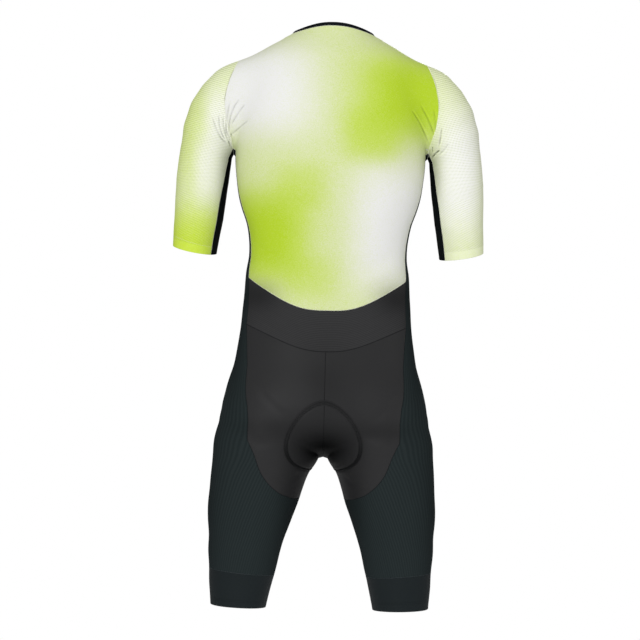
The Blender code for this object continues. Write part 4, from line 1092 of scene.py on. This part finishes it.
def newMaterial(name, **shaderValues):
    finish = bpy.data.materials.new(name)
    finish.use_nodes = True
    tree = finish.node_tree
    shader = tree.nodes["Principled BSDF"]
    for socket, value in shaderValues.items():
        shader.inputs[socket.replace("_", " ")].default_value = value
    return finish, tree, shader


def setRamp(ramp, stops):  # colours by place; gives the ramp's colour socket
    while len(ramp.color_ramp.elements) < len(stops):
        ramp.color_ramp.elements.new(0.5)
    for element, (place, code) in zip(ramp.color_ramp.elements, stops):
        element.position = place
        element.color = linear(code)
    return ramp.outputs["Color"]


def finishSurface(tree, shader, colour, height, strength, distance, invert=False):
    tree.links.new(colour, shader.inputs["Base Color"])
    sockets = {"Height": height, "Strength": strength, "Distance": distance}
    bump = addNode(tree, "Bump", sockets, invert=invert)
    tree.links.new(bump.outputs["Normal"], shader.inputs["Normal"])


def withPaintedShadeAndHighlight(tree, colour):  # the colour with painted shade where the cloth lies in a fold or hollow, and a painted highlight over a ridge
    shade = addNode(tree, "Attribute", attribute_name="paintedShadeAndHighlight").outputs["Fac"]
    dark = addNode(tree, "Mix", {0: shade, 6: colour, 7: linear("#030404")}, data_type="RGBA")
    ridge = addNode(tree, "Math", {0: shade, 1: -1.0}, operation="MULTIPLY")
    sockets = {0: ridge.outputs[0], 6: dark.outputs[2], 7: linear("#ffffff")}
    return addNode(tree, "Mix", sockets, data_type="RGBA", blend_type="SOFT_LIGHT").outputs[2]


def glossInShade(tree, shader, gloss):  # where shade is painted in, the gloss is lowered to match
    shade = addNode(tree, "Attribute", attribute_name="paintedShadeAndHighlight").outputs["Fac"]
    left = addNode(tree, "Math", {0: shade, 1: -gloss, 2: gloss}, operation="MULTIPLY_ADD")
    tree.links.new(left.outputs[0], shader.inputs["Specular IOR Level"])


fade = {
    "cloth": ((0.0, "#ededec"), (0.25, "#e2e6cb"), (0.5, "#d2df97"), (0.75, "#c4da61"), (1.0, "#b6d42b")),
    # the sleeves are paler than the body: painted light for the brighter light on the sleeves, and at the
    # lime end also the thinner dye on their mesh
    "sleeve": ((0.0, "#fdfdfb"), (0.25, "#f6f9e3"), (0.5, "#ebf4c0"), (0.75, "#ddee88"), (1.0, "#d0e948")),
    # the dye's specks, 1.6 mm, and blotches, 8 mm: noise scale, detail, and how far each shifts the lime
    "specks": ((620.0, 2.0, 0.25), (130.0, 3.0, 0.05)),
    "knitScale": 1100.0,  # stitches about 0.9 mm apart, drawn a little coarser than the real 0.5 mm
}


# Sublimation-printed lycra: dye pressed into white knit, so the colour is soft and slightly speckled.
def printedLycra(name, stops, dots=None):
    finish, tree, shader = newMaterial(name, Roughness=0.7, Specular_IOR_Level=0.1)
    place = addNode(tree, "TexCoord").outputs["Object"]
    share = addNode(tree, "Attribute", attribute_name="limeShare").outputs["Fac"]
    for scale, detail, most in fade["specks"]:
        specks = addNode(tree, "TexNoise", {"Vector": place, "Scale": scale, "Detail": detail})
        sockets = {0: specks.outputs["Fac"], 1: 2 * most, 2: -most}
        shift = addNode(tree, "Math", sockets, operation="MULTIPLY_ADD")
        share = addNode(tree, "Math", {0: share, 1: shift.outputs[0]}, operation="ADD").outputs[0]
    colour = setRamp(addNode(tree, "ValToRGB", {"Fac": share}), stops)
    sockets = {"Vector": place, "Scale": fade["knitScale"], "Detail": 1.0}
    height = addNode(tree, "TexNoise", sockets).outputs["Fac"]
    if dots:
        flat = addNode(tree, "UVMap", uv_map="flatCloth").outputs["UV"]
        scale = (1 / dots["across"], 1 / dots["down"], 1.0)
        spaced = addNode(tree, "Mapping", {"Vector": flat, "Scale": scale}).outputs["Vector"]
        sockets = {"Vector": spaced, "Scale": 1.0, "Randomness": 0.0}
        distance = addNode(tree, "TexVoronoi", sockets, voronoi_dimensions="2D").outputs["Distance"]
        sockets = {"Value": distance, "To Min": 1.0, "To Max": 0.0}
        sockets |= {"From Min": dots["radius"] * dots["inner"], "From Max": dots["radius"] * dots["outer"]}
        inHole = addNode(tree, "MapRange", sockets).outputs["Result"]
        gap = addNode(tree, "Attribute", attribute_name="hemGap").outputs["Fac"]
        low, high = dots["plainHem"] - dots["hemBlur"], dots["plainHem"] + dots["hemBlur"]
        sockets = {"Value": gap, "From Min": low, "From Max": high}
        beyondHem = addNode(tree, "MapRange", sockets).outputs["Result"]
        height = addNode(tree, "Math", {0: inHole, 1: beyondHem}, operation="MULTIPLY").outputs[0]
        sockets = {0: height, 6: colour, 7: linear(dots["colour"])}
        colour = addNode(tree, "Mix", sockets, data_type="RGBA", blend_type="MULTIPLY").outputs[2]
    colour = withPaintedShadeAndHighlight(tree, colour)
    finishSurface(tree, shader, colour, height, strength=0.2, distance=0.0002, invert=bool(dots))
    return finish


# Rib knit: raised wales with shaded furrows. run "down" keeps the ribs along the cloth's length.
def ribbedKnit(name, darkest, lightest, spacing, run, uneven, relief=0.3):
    finish, tree, shader = newMaterial(name, Roughness=0.75, Specular_IOR_Level=0.01)
    flat = addNode(tree, "UVMap", uv_map="flatCloth").outputs["UV"]
    along = 0.05 / spacing  # streaks twenty times as long as they are wide
    scale = (1 / spacing, along, 1.0) if run == "down" else (along, 1 / spacing, 1.0)
    stretched = addNode(tree, "Mapping", {"Vector": flat, "Scale": scale}).outputs["Vector"]
    sockets = {"Vector": stretched, "Scale": 1.0, "Detail": 2.5, "Roughness": 0.6}
    streaks = addNode(tree, "TexNoise", sockets, noise_dimensions="2D").outputs["Fac"]
    sockets = {"Vector": flat, "Scale": math.pi / (10 * spacing), "Distortion": uneven}
    waves = addNode(tree, "TexWave", sockets, bands_direction="X" if run == "down" else "Y").outputs["Fac"]
    both = addNode(tree, "Mix", {0: 0.6, 2: streaks, 3: waves}, data_type="FLOAT").outputs[0]
    colour = setRamp(addNode(tree, "ValToRGB", {"Fac": both}), ((0.28, darkest), (0.72, lightest)))
    finishSurface(tree, shader, withPaintedShadeAndHighlight(tree, colour), both, strength=relief, distance=0.0003)
    return finish


# Smooth warp knit: even and slightly shiny, with only a fine grain left.
def smoothKnit(name, code, roughness, gloss=0.03, grain=0.0009, contrast=0.12, sheen=0.0):
    values = {"Roughness": roughness, "Specular_IOR_Level": gloss, "Sheen_Weight": sheen}
    finish, tree, shader = newMaterial(name, **values)
    place = addNode(tree, "TexCoord").outputs["Object"]
    fine = addNode(tree, "TexNoise", {"Vector": place, "Scale": 1 / grain, "Detail": 2.0}).outputs["Fac"]
    low, high = ([min(c * by, 1) for c in linear(code)[:3]] + [1.0] for by in (1 - contrast, 1 + contrast))
    colour = addNode(tree, "Mix", {0: fine, 6: low, 7: high}, data_type="RGBA").outputs[2]
    finishSurface(tree, shader, withPaintedShadeAndHighlight(tree, colour), fine, strength=0.3, distance=0.0002)
    if gloss > 0.09:
        glossInShade(tree, shader, gloss)
    return finish


def gripperReverse(name, pitch):  # inside of the leg band: rows of silicone dots on dark knit, a bit shinier
    finish, tree, shader = newMaterial(name, Roughness=0.5)
    flat = addNode(tree, "UVMap", uv_map="flatCloth").outputs["UV"]
    scale = (1 / pitch, 1 / pitch, 1.0)
    spaced = addNode(tree, "Mapping", {"Vector": flat, "Scale": scale}).outputs["Vector"]
    sockets = {"Vector": spaced, "Scale": 1.0, "Randomness": 0.0}
    distance = addNode(tree, "TexVoronoi", sockets, voronoi_dimensions="2D").outputs["Distance"]
    colour = setRamp(addNode(tree, "ValToRGB", {"Fac": distance}), ((0.26, "#4a5053"), (0.32, "#181c1e")))
    finishSurface(tree, shader, colour, distance, strength=0.8, distance=0.0004, invert=True)
    return finish


def gunmetalPlate(name):  # die-cast zinc with a dark plating, slightly worn
    finish, tree, shader = newMaterial(name, Metallic=0.9, Roughness=0.36)
    place = addNode(tree, "TexCoord").outputs["Object"]
    # specks about 1 mm across
    wear = addNode(tree, "TexNoise", {"Vector": place, "Scale": 900.0, "Detail": 3.0}).outputs["Fac"]
    colour = setRamp(addNode(tree, "ValToRGB", {"Fac": wear}), ((0.35, "#4b4d52"), (0.7, "#6d7076")))
    tree.links.new(colour, shader.inputs["Base Color"])
    return finish


meshDots = {
    "across": 0.0019,
    "down": 0.0033,  # holes in level rows 3.3 mm apart
    "radius": 0.28,  # as a share of their spacing, blurred from its inner to its outer share
    "inner": 0.7,
    "outer": 1.3,
    "plainHem": 0.0145,  # none this near the sleeve's hem
    "hemBlur": 0.0005,
    "colour": "#d2d7bf",
}
materials = {
    "print": printedLycra("sublimationPrintedLycra", fade["cloth"]),
    "sleeve": printedLycra("printedDottedMesh", fade["sleeve"], meshDots),
    "reverse": smoothKnit("unprintedLycraReverse", "#e9eae6", 0.7),
    "trim": smoothKnit("blackBindingLycra", "#101416", 0.75),
    "waist": ribbedKnit("ribbedWaistKnit", "#333334", "#3a3a3b", 0.0032, "across", 0.15, 0.2),
    "seat": smoothKnit("smoothSeatLycra", "#2d2d2e", 0.55, gloss=0.10),
    "leg": ribbedKnit("verticalRibLegKnit", "#242b2c", "#293031", 0.0052, "down", 0.5, 0.08),
    "lower": ribbedKnit("ribbedFrontKnit", "#242b2c", "#293031", 0.0052, "down", 0.5, 0.08),
    "gripper": smoothKnit("gripperBandLycra", "#1d2325", 0.6, gloss=0.08),
    "gripperReverse": gripperReverse("siliconeDotReverse", pitch=0.005),
    # pad cover: short brushed pile, matt and mottled
    "pad": smoothKnit("brushedPadFleece", "#33373c", 0.95, sheen=0.35, grain=0.0014, contrast=0.25),
    "paleThread": smoothKnit("palePolyesterThread", "#f2f5e2", 0.6),
    "darkThread": smoothKnit("darkPolyesterThread", "#15181a", 0.6),
    "blackThread": smoothKnit("blackPolyesterThread", "#101314", 0.6),
    "greyThread": smoothKnit("greyPolyesterThread", "#4a5255", 0.6),
    "coil": smoothKnit("mouldedNylonCoil", "#1b1d1f", 0.35, gloss=0.5),
    "tape": ribbedKnit("wovenZipTape", "#15181a", "#24282a", 0.0012, "down", 0.1),
    "metal": gunmetalPlate("gunmetalPlatedZinc"),
}

panelMarks = markPanels()
laidCreases = layCreases()
suit = halfSuit()
print("half suit:", len(suit.faces), "faces")

clothPieces = (
    # panel, outside, inside, the record's slot, the frame's nodes, beside the zip, over the pad
    ("collarBand", "trim", "trim", "black_lycra", "collar", True, False),
    ("backPanel", "print", "reverse", "printed_lycra", "back_panel", False, False),
    ("frontPanel", "print", "reverse", "printed_lycra", "front_left", True, False),
    ("waistBand", "waist", "waist", "ribbed_waist_lycra", "waistband", False, False),
    ("seatPanel", "seat", "seat", "smooth_seat_lycra", "seat_left", False, True),
    ("lowerFront", "lower", "lower", "black_lycra", "front_lower", False, True),
    ("sidePanel", "leg", "leg", "ribbed_leg_lycra", "side_panel_left thigh_left", False, False),
    ("legGripper", "gripper", "gripperReverse", "gripper_band", "leg_band_left", False, False),
    ("sleeve", "sleeve", "reverse", "printed_sleeve_mesh", "sleeve_left", False, False),
    ("underarmStrip", "trim", "trim", "black_lycra", "underarm_left", False, False),
)
for source, outside, inside, slot, nodes, zipEdge, overPad in clothPieces:
    for side in ("Left", "Right") if nodes.endswith("_left") else ("",):
        stands = nodes.replace("left", side.lower()).split()
        clothPiece(source, side, (materials[outside], materials[inside]), stands, zipEdge, overPad)


def aroundPad(level, both):  # the cloth that carries the pad, its height now how far it is beyond this level
    mesh = cutOut("seatPanel", "lowerFront")
    if both:
        addRightHalf(mesh)
    home = mesh.verts.layers.float_vector.new("home")
    for vert, beyond in zip(mesh.verts, beyondPad(positions(mesh))):
        vert[home] = vert.co
        vert.co.z = beyond - level
    return mesh, home


def cutLevel(mesh, closeness, **sides):  # cuts it where its height is nothing
    whole = mesh.verts[:] + mesh.edges[:] + mesh.faces[:]
    plane = {"plane_co": (0, 0, 0), "plane_no": (0, 0, 1)}
    return bmesh.ops.bisect_plane(mesh, geom=whole, dist=closeness, **plane, **sides)["geom_cut"]


def makePad():  # the crowned chamois pad, with two stitched grooves all round
    mesh, home = aroundPad(0, both=True)
    cutLevel(mesh, 1e-4, clear_outer=True)
    for vert in mesh.verts:
        vert.co = vert[home]
    inner = innerWall(mesh)
    points = positions(mesh)
    out = outward(points)
    depth = clothDepth(points, out, True) + cut["wall"] + cut["seamGap"]
    inside = np.maximum(-beyondPad(points), 0)
    swell = pad["edgeThickness"] + pad["thickness"] * (1 - np.exp(-inside / pad["swellsOver"]))
    for channel in pad["channels"]:
        swell -= pad["channelDepth"] * bell((inside - channel) / pad["channelHalfWidth"])
    for vert, point, way, below, thick in zip(mesh.verts, points, out, depth, swell):
        vert.co = point - way * (below + (thick if vert in inner else 0))
    finishFaces(mesh)
    piece = addObject("chamoisPad", mesh, [materials["pad"]], ("seat_pad",))


makePad()
print("cloth and pad made")

stitch = {
    # pitch along the seam, length, degrees that it slants
    "overlock": (0.0021, 0.0032, 35.0),
    "centre": (0.0028, 0.0022, 0.0),
    "band": (0.0022, 0.0026, 8.0),
    "hem": (0.0034, 0.0026, 0.0),
    "pad": (0.0024, 0.0022, 0.0),
    "zigzag": (0.0024, 0.0026, 0.0),
    "zigzagPitch": 0.0034,
    "zigzagReach": 0.0017,
    "hemInset": 5,  # rows of cloth
    "twinGap": 0.003,
    "thickness": 0.00055,
    "height": 0.0004,
    "sink": 0.00002,
    "padReach": (-0.80, -0.60),  # seams that cross these heights run over the pad's edge
}


def spacedAlong(route, pitch, reach=1e-3):  # even places along a line, with the line's own direction there
    lengths = running(np.linalg.norm(np.diff(route, axis=0), axis=1))
    count = max(2, int(lengths[-1] / pitch))
    at = (np.arange(count) + 0.5) * lengths[-1] / count
    behind, places, ahead = (lineAt(route, lengths, at + step) for step in (-reach, 0, reach))
    return places, unit(ahead - behind)


def threadBits(route, kind, shift=0.0, overPad=False):  # where each stitch lies, and its three half sizes
    pitch, length, slant = stitch[kind]
    places, along = spacedAlong(route, pitch)
    out = outward(places)
    across = np.cross(out, along)
    places = places + across * shift
    places = places - out * (clothDepth(places, out, overPad) + stitch["sink"])[:, None]
    turn = math.radians(slant)
    direction = along * math.cos(turn) + across * math.sin(turn)
    sideways = np.cross(out, direction)
    return places, direction * length / 2, sideways * stitch["thickness"] / 2, out * stitch["height"] / 2


def joinBits(name, bits, mesh, finish):  # one mesh of many copies, each placed and sized by its bit
    mesh.verts.index_update()
    base = np.array([vert.co for vert in mesh.verts])
    faces = [[vert.index for vert in face.verts] for face in mesh.faces]
    corners = np.concatenate(faces)
    faceStarts = running([len(face) for face in faces])[:-1].astype(int)
    mesh.free()
    places, *axes = (np.concatenate(part) for part in zip(*bits))
    points = places[:, None] + sum(base[None, :, i : i + 1] * axes[i][:, None] for i in range(3))
    copies = np.arange(len(places))[:, None]
    data = bpy.data.meshes.new(name)
    data.vertices.add(len(places) * len(base))
    data.vertices.foreach_set("co", points.reshape(-1))
    data.loops.add(len(places) * len(corners))
    data.loops.foreach_set("vertex_index", (corners + copies * len(base)).ravel())
    data.polygons.add(len(places) * len(faces))
    data.polygons.foreach_set("loop_start", (faceStarts + copies * len(corners)).ravel())
    data.update(calc_edges=True)
    data.polygons.foreach_set("use_smooth", np.full(len(places) * len(faces), True))
    data.materials.append(finish)
    placePiece(name, data)
    print(f"{name}: {len(places)} pieces")


def sew(name, routes, finish):  # each has its line, kind of stitch, shift, and if it is over the pad
    bit = bmesh.new()  # one rounded bit of thread
    bmesh.ops.create_icosphere(bit, subdivisions=1, radius=1.0)
    thread = []
    for route, *more in routes:
        onCentre = np.abs(route[:, 0]).max() < 1e-4
        thread += [threadBits(one, *more) for one in ((route,) if onCentre else (route, mirrored(route)))]
    joinBits(name, thread, bit, materials[finish])


def sewSuit():
    yoke, hole, body, band, lower, _ = cut["ringRows"][1:7]
    first, last = cut["sideEnds"]
    strip, stripEnd = cut["stripEnds"]
    seatRows = cut["seatRows"]
    sides = [np.vstack([trunk[body:, end], leg[1 : seatRows + 1, end]]) for end in (first, last)]
    armhole = armholeLoop()
    pale = [
        trunk[yoke, :-2],
        np.vstack([armhole, armhole[:1]]),
        trunk[yoke : hole + 1, cut["yokeMiddle"]],
        trunk[band, : first + 1],
        trunk[band, last:],
        *(side[: band - body + 1] for side in sides),
        sleeve[:, strip],
        sleeve[:, stripEnd],
    ]
    sew("paleSeamStitches", [(route, "overlock") for route in pale], "paleThread")
    dark = [
        trunk[lower, : first + 1],
        *(side[band - body :] for side in sides),
        leg[seatRows, : first + 1],
        leg[seatRows, last:],
        leg[: seatRows + 1, cut["crotchMiddle"]],
    ]
    low, high = stitch["padReach"]
    overPad = [route[:, 2].min() < high and route[:, 2].max() > low for route in dark]
    routes = [(route, "overlock", 0.0, over) for route, over in zip(dark, overPad)]
    centre = np.vstack([trunk[lower:, 0], leg[0, cut["trunkColumns"] : cut["crotchMiddle"] + 1]])
    sew("darkSeamStitches", routes + [(centre, "centre", 0.0, True)], "darkThread")
    sew("bandSeamStitches", [(leg[cut["bandRow"]], "band")], "greyThread")
    hem = sleeve[cut["sleeveRows"] - stitch["hemInset"]]
    printed = [(hem[: strip + 1], "hem"), (hem[stripEnd:], "hem")]
    sew("sleeveHemStitches", printed, "paleThread")
    legHem = leg[-stitch["hemInset"]]
    black = [(legHem, "hem"), (legHem, "hem", stitch["twinGap"])]
    black += [(hem[strip : stripEnd + 1], "hem"), (trunk[2, :-2], "hem")]
    sew("hemStitches", black, "darkThread")


def outlineOfPad(level):  # half of the line at this distance from the pad's outline, from its top at the back
    mesh, home = aroundPad(level, both=False)
    made = cutLevel(mesh, 1e-5)
    line = {vert for item in made if isinstance(item, bmesh.types.BMEdge) for vert in item.verts}
    line = [vert for vert in line if abs(vert.co.z) < 1e-5]
    route = [max(line, key=lambda vert: vert[home].z + (10 if vert[home].y > 0 else 0))]
    left = set(line) - {route[0]}
    while left:
        here = route[-1][home]
        after = min(left, key=lambda vert: (vert[home] - here).length)
        if (after[home] - here).length > pad["widestGap"]:
            break
        route.append(after)
        left.remove(after)
    points = np.array([vert[home] for vert in route])
    mesh.free()
    for _ in range(2):
        points[1:-1] = (points[:-2] + 2 * points[1:-1] + points[2:]) / 4
    return points


def sewPad():  # two lines of stitching round the pad, and a zigzag between them at the back
    outer = outlineOfPad(-pad["outerStitches"])
    inner = outlineOfPad(-pad["borderWidth"])
    print("pad outline:", len(outer), len(inner), "points")
    zigzag = []
    for place, along in zip(*spacedAlong(outer, stitch["zigzagPitch"])):
        nearest = inner[np.argmin(np.linalg.norm(inner - place, axis=1))]
        zigzag += [place, nearest + along * stitch["zigzagReach"]]
    zigzag = ontoForm(np.array(zigzag))
    routes = [(outer, "pad", 0.0, True), (inner, "pad", 0.0, True)]
    routes += [(zigzag[zigzag[:, 1] > 0], "zigzag", 0.0, True)]
    sew("padStitches", routes, "blackThread")


sewSuit()
sewPad()
suit.free()
print("seams sewn")

zipParts = {
    "tapeHalfWidth": 0.007,
    "tapeThickness": 0.0006,
    "tapeTop": -0.0016,
    "tapeRows": 110,
    "toothPitch": 0.0011,
    "toothLength": 0.0038,
    "toothWidth": 0.00084,
    "toothHeight": 0.0019,
    "toothMiddle": -0.0005,
    "toothStagger": 0.0003,
    "toothRounding": 0.55,  # of half its size
    "sliderHeight": -0.046,
    "pivotOut": 0.0035,
    "sharpAngle": 40,
    # lowest and highest corner, bevel, segments, and how much narrower its lower end is
    "slider": (
        ((-0.0042, -0.0052, 0.0009), (0.0042, 0.0052, 0.0025), 0.0006, 3, 0.72),
        ((-0.0009, -0.0036, 0.0045), (0.0009, 0.0036, 0.0057), 0.0004, 2, 1.0),
        ((-0.0009, -0.0036, 0.0022), (0.0009, -0.0022, 0.0050), 0.0003, 2, 1.0),
        ((-0.0009, 0.0022, 0.0022), (0.0009, 0.0036, 0.0050), 0.0003, 2, 1.0),
    ),
    "pull": (
        ((-0.0028, -0.0063, -0.0006), (-0.0014, 0.0001, 0.0006), 0.00025, 2, 1.0),
        ((0.0014, -0.0063, -0.0006), (0.0028, 0.0001, 0.0006), 0.00025, 2, 1.0),
        ((-0.0028, -0.0250, -0.0006), (0.0028, -0.0057, 0.0006), 0.00045, 2, 0.82),
        ((-0.0021, -0.0236, -0.0008), (0.0021, -0.0150, 0.0008), 0.00025, 2, 0.8),
    ),
    "bar": {"segments": 16, "radius1": 0.0007, "radius2": 0.0007, "depth": 0.0056, "cap_ends": True},
}


def roundEdges(mesh, edges, bevel, segments):
    settings = {"profile": 0.5, "affect": "EDGES", "material": -1}
    bmesh.ops.bevel(mesh, geom=edges, offset=bevel, segments=segments, **settings)


def centreFront(heights):  # points on the centre front, and straight out of it
    starts = np.column_stack([0 * heights, trunkMiddle(heights), heights])
    points = rayHit(starts, np.tile((0, -1.0, 0), (len(heights), 1)))
    return points, unit(outward(points) * (0, 1, 1))


def makeZip():
    heights = np.linspace(cut["seamRings"][0][3], cut["zipBottom"], zipParts["tapeRows"])
    points, normals = centreFront(heights)
    half, high = zipParts["tapeHalfWidth"], zipParts["tapeTop"]
    low = high - zipParts["tapeThickness"]
    profile = [(-half, low), (0, low), (half, low), (half, high), (0, high), (-half, high), (-half, low)]
    rows = points[:, None] + np.array([(across, 0, 0) for across, out in profile])
    rows = rows + normals[:, None] * np.array([out for across, out in profile])[:, None]
    mesh = newCloth()
    placeGrid(mesh, rows, np.zeros((len(rows) - 1, len(profile) - 1), int), flatPattern(rows))
    bmesh.ops.remove_doubles(mesh, verts=mesh.verts, dist=1e-6)
    bmesh.ops.holes_fill(mesh, edges=mesh.edges, sides=len(profile))
    bmesh.ops.recalc_face_normals(mesh, faces=mesh.faces)
    tape = addObject("zipTape", mesh, [materials["tape"]], ("zip_tape",))
    length = float(np.linalg.norm(np.diff(points, axis=0), axis=1).sum())

    tooth = bmesh.new()
    bmesh.ops.create_cube(tooth, size=2)
    roundEdges(tooth, tooth.edges[:], zipParts["toothRounding"], 1)
    places, along = spacedAlong(points, length / int(length / zipParts["toothPitch"]))
    normals = np.cross((1.0, 0, 0), along)
    normals *= np.sign(np.einsum("ij,ij->i", normals, outward(places)))[:, None]
    places = places + normals * zipParts["toothMiddle"]
    places[:, 0] += np.where(np.arange(len(places)) % 2, 1, -1) * zipParts["toothStagger"]
    across = np.tile((zipParts["toothLength"] / 2, 0, 0), (len(places), 1))
    bits = [(places, across, along * zipParts["toothWidth"] / 2, normals * zipParts["toothHeight"] / 2)]
    joinBits("zipCoilTeeth", bits, tooth, materials["coil"])


def addBox(mesh, low, high, bevel, segments, taper):
    low, high = Vector(low), Vector(high)
    made = bmesh.ops.create_cube(mesh, size=1)["verts"]
    bmesh.ops.scale(mesh, vec=high - low, verts=made)
    bmesh.ops.translate(mesh, vec=(low + high) / 2, verts=made)
    for vert in made:
        if vert.co.y < (low.y + high.y) / 2:
            vert.co.x *= taper
    edges = list({edge for vert in made for edge in vert.link_edges})
    roundEdges(mesh, edges, bevel, segments)


def finishMetal(name, mesh, place, stands, body):
    bmesh.ops.transform(mesh, matrix=place, verts=mesh.verts)
    finishFaces(mesh)
    piece = addObject(name, mesh, [materials["metal"]], (stands,), body)
    piece.data.set_sharp_from_angle(angle=math.radians(zipParts["sharpAngle"]))


def makeSlider():
    point, normal = centreFront(np.array([zipParts["sliderHeight"]]))
    across, out = Vector((1, 0, 0)), Vector(normal[0])
    turn = Matrix((across, out.cross(across), out)).transposed().to_4x4()
    place = Matrix.Translation(Vector(point[0])) @ turn
    slider = bmesh.new()
    for box in zipParts["slider"]:
        addBox(slider, *box)
    finishMetal("zipSliderBody", slider, place, "zip_slider", "suit")
    pull = bmesh.new()
    for box in zipParts["pull"]:
        addBox(pull, *box)
    bmesh.ops.create_cone(pull, matrix=Matrix.Rotation(math.pi / 2, 4, "Y"), **zipParts["bar"])
    place = place @ Matrix.Translation((0, 0, zipParts["pivotOut"]))
    finishMetal("zipPullTab", pull, place, "zip_pull", "zip_tab")


makeZip()
makeSlider()
print("zip made")

studio = {
    "floorHeight": -1.70,
    "floorSize": 6.4,
    "roomLight": 0.32,
    "sensorWidth": 36.0,  # of the camera, in millimetres
    "cameraDistance": 5.0,
    "cameraHeight": -0.4860,
    "cameraAcross": 0.011,
    "frameWidth": 1.101,
    "subjectNearer": 0.02,  # the outline's widest parts stand this much nearer than the origin
    "roll": 1.45,
    # place, size and strength of each lamp; all aim at the suit's middle
    "lamps": (
        ("softBackKey", (1.1, 4.1, 0.7), 1.3, 104.0),
        ("softRim", (-3.6, 1.4, -0.1), 1.4, 22.0),
        ("softFrontKey", (-0.5, -4.2, 0.6), 1.6, 95.0),
        ("softTop", (0.0, 0.3, 3.2), 2.0, 20.0),
    ),
    "aim": (0.0, 0.0, -0.35),
}


def addLight(name, place, size, watts):
    lamp = bpy.data.lights.new(name, "AREA")
    lamp.shape = "DISK"
    lamp.size = size
    lamp.energy = watts
    thing = bpy.data.objects.new(name, lamp)
    thing.location = place
    thing.rotation_euler = (Vector(studio["aim"]) - Vector(place)).to_track_quat("-Z", "Y").to_euler()
    bpy.context.scene.collection.objects.link(thing)


def makeStudio():
    scene = bpy.context.scene
    scene.view_settings.view_transform = "Standard"
    finish = newMaterial("matPaintedFloor", Base_Color=linear("#f0f0f0"), Roughness=0.9)[0]
    mesh = bmesh.new()
    bmesh.ops.create_grid(mesh, x_segments=1, y_segments=1, size=studio["floorSize"] / 2)
    bmesh.ops.translate(mesh, vec=(0, 0, studio["floorHeight"]), verts=mesh.verts)
    data = bpy.data.meshes.new("studioFloor")
    mesh.to_mesh(data)
    mesh.free()
    data.materials.append(finish)
    floor = bpy.data.objects.new("studioFloor", data)
    scene.collection.objects.link(floor)

    world = bpy.data.worlds.new("softWhiteRoom")
    world.use_nodes = True
    tree = world.node_tree
    tree.nodes.clear()
    seen = addNode(tree, "LightPath").outputs["Is Camera Ray"]
    rooms = [{"Color": (1, 1, 1, 1), "Strength": strength} for strength in (studio["roomLight"], 1.0)]
    dim, bright = (addNode(tree, "Background", room).outputs[0] for room in rooms)
    mix = addNode(tree, "MixShader", {0: seen, 1: dim, 2: bright})
    addNode(tree, "OutputWorld", {"Surface": mix.outputs[0]})
    scene.world = world

    for lamp in studio["lamps"]:
        addLight(*lamp)

    camera = bpy.data.cameras.new("camera")
    camera.sensor_width = studio["sensorWidth"]
    nearer = studio["cameraDistance"] - studio["subjectNearer"]
    camera.lens = studio["sensorWidth"] * nearer / studio["frameWidth"]
    thing = bpy.data.objects.new("camera", camera)
    thing.matrix_world = (
        Matrix.Translation((studio["cameraAcross"], studio["cameraDistance"], studio["cameraHeight"]))
        @ Matrix.Rotation(math.pi, 4, "Z")
        @ Matrix.Rotation(math.pi / 2, 4, "X")
        @ Matrix.Rotation(math.radians(studio["roll"]), 4, "Z")
    )
    scene.collection.objects.link(thing)
    scene.camera = thing


makeStudio()
print("studio lit")
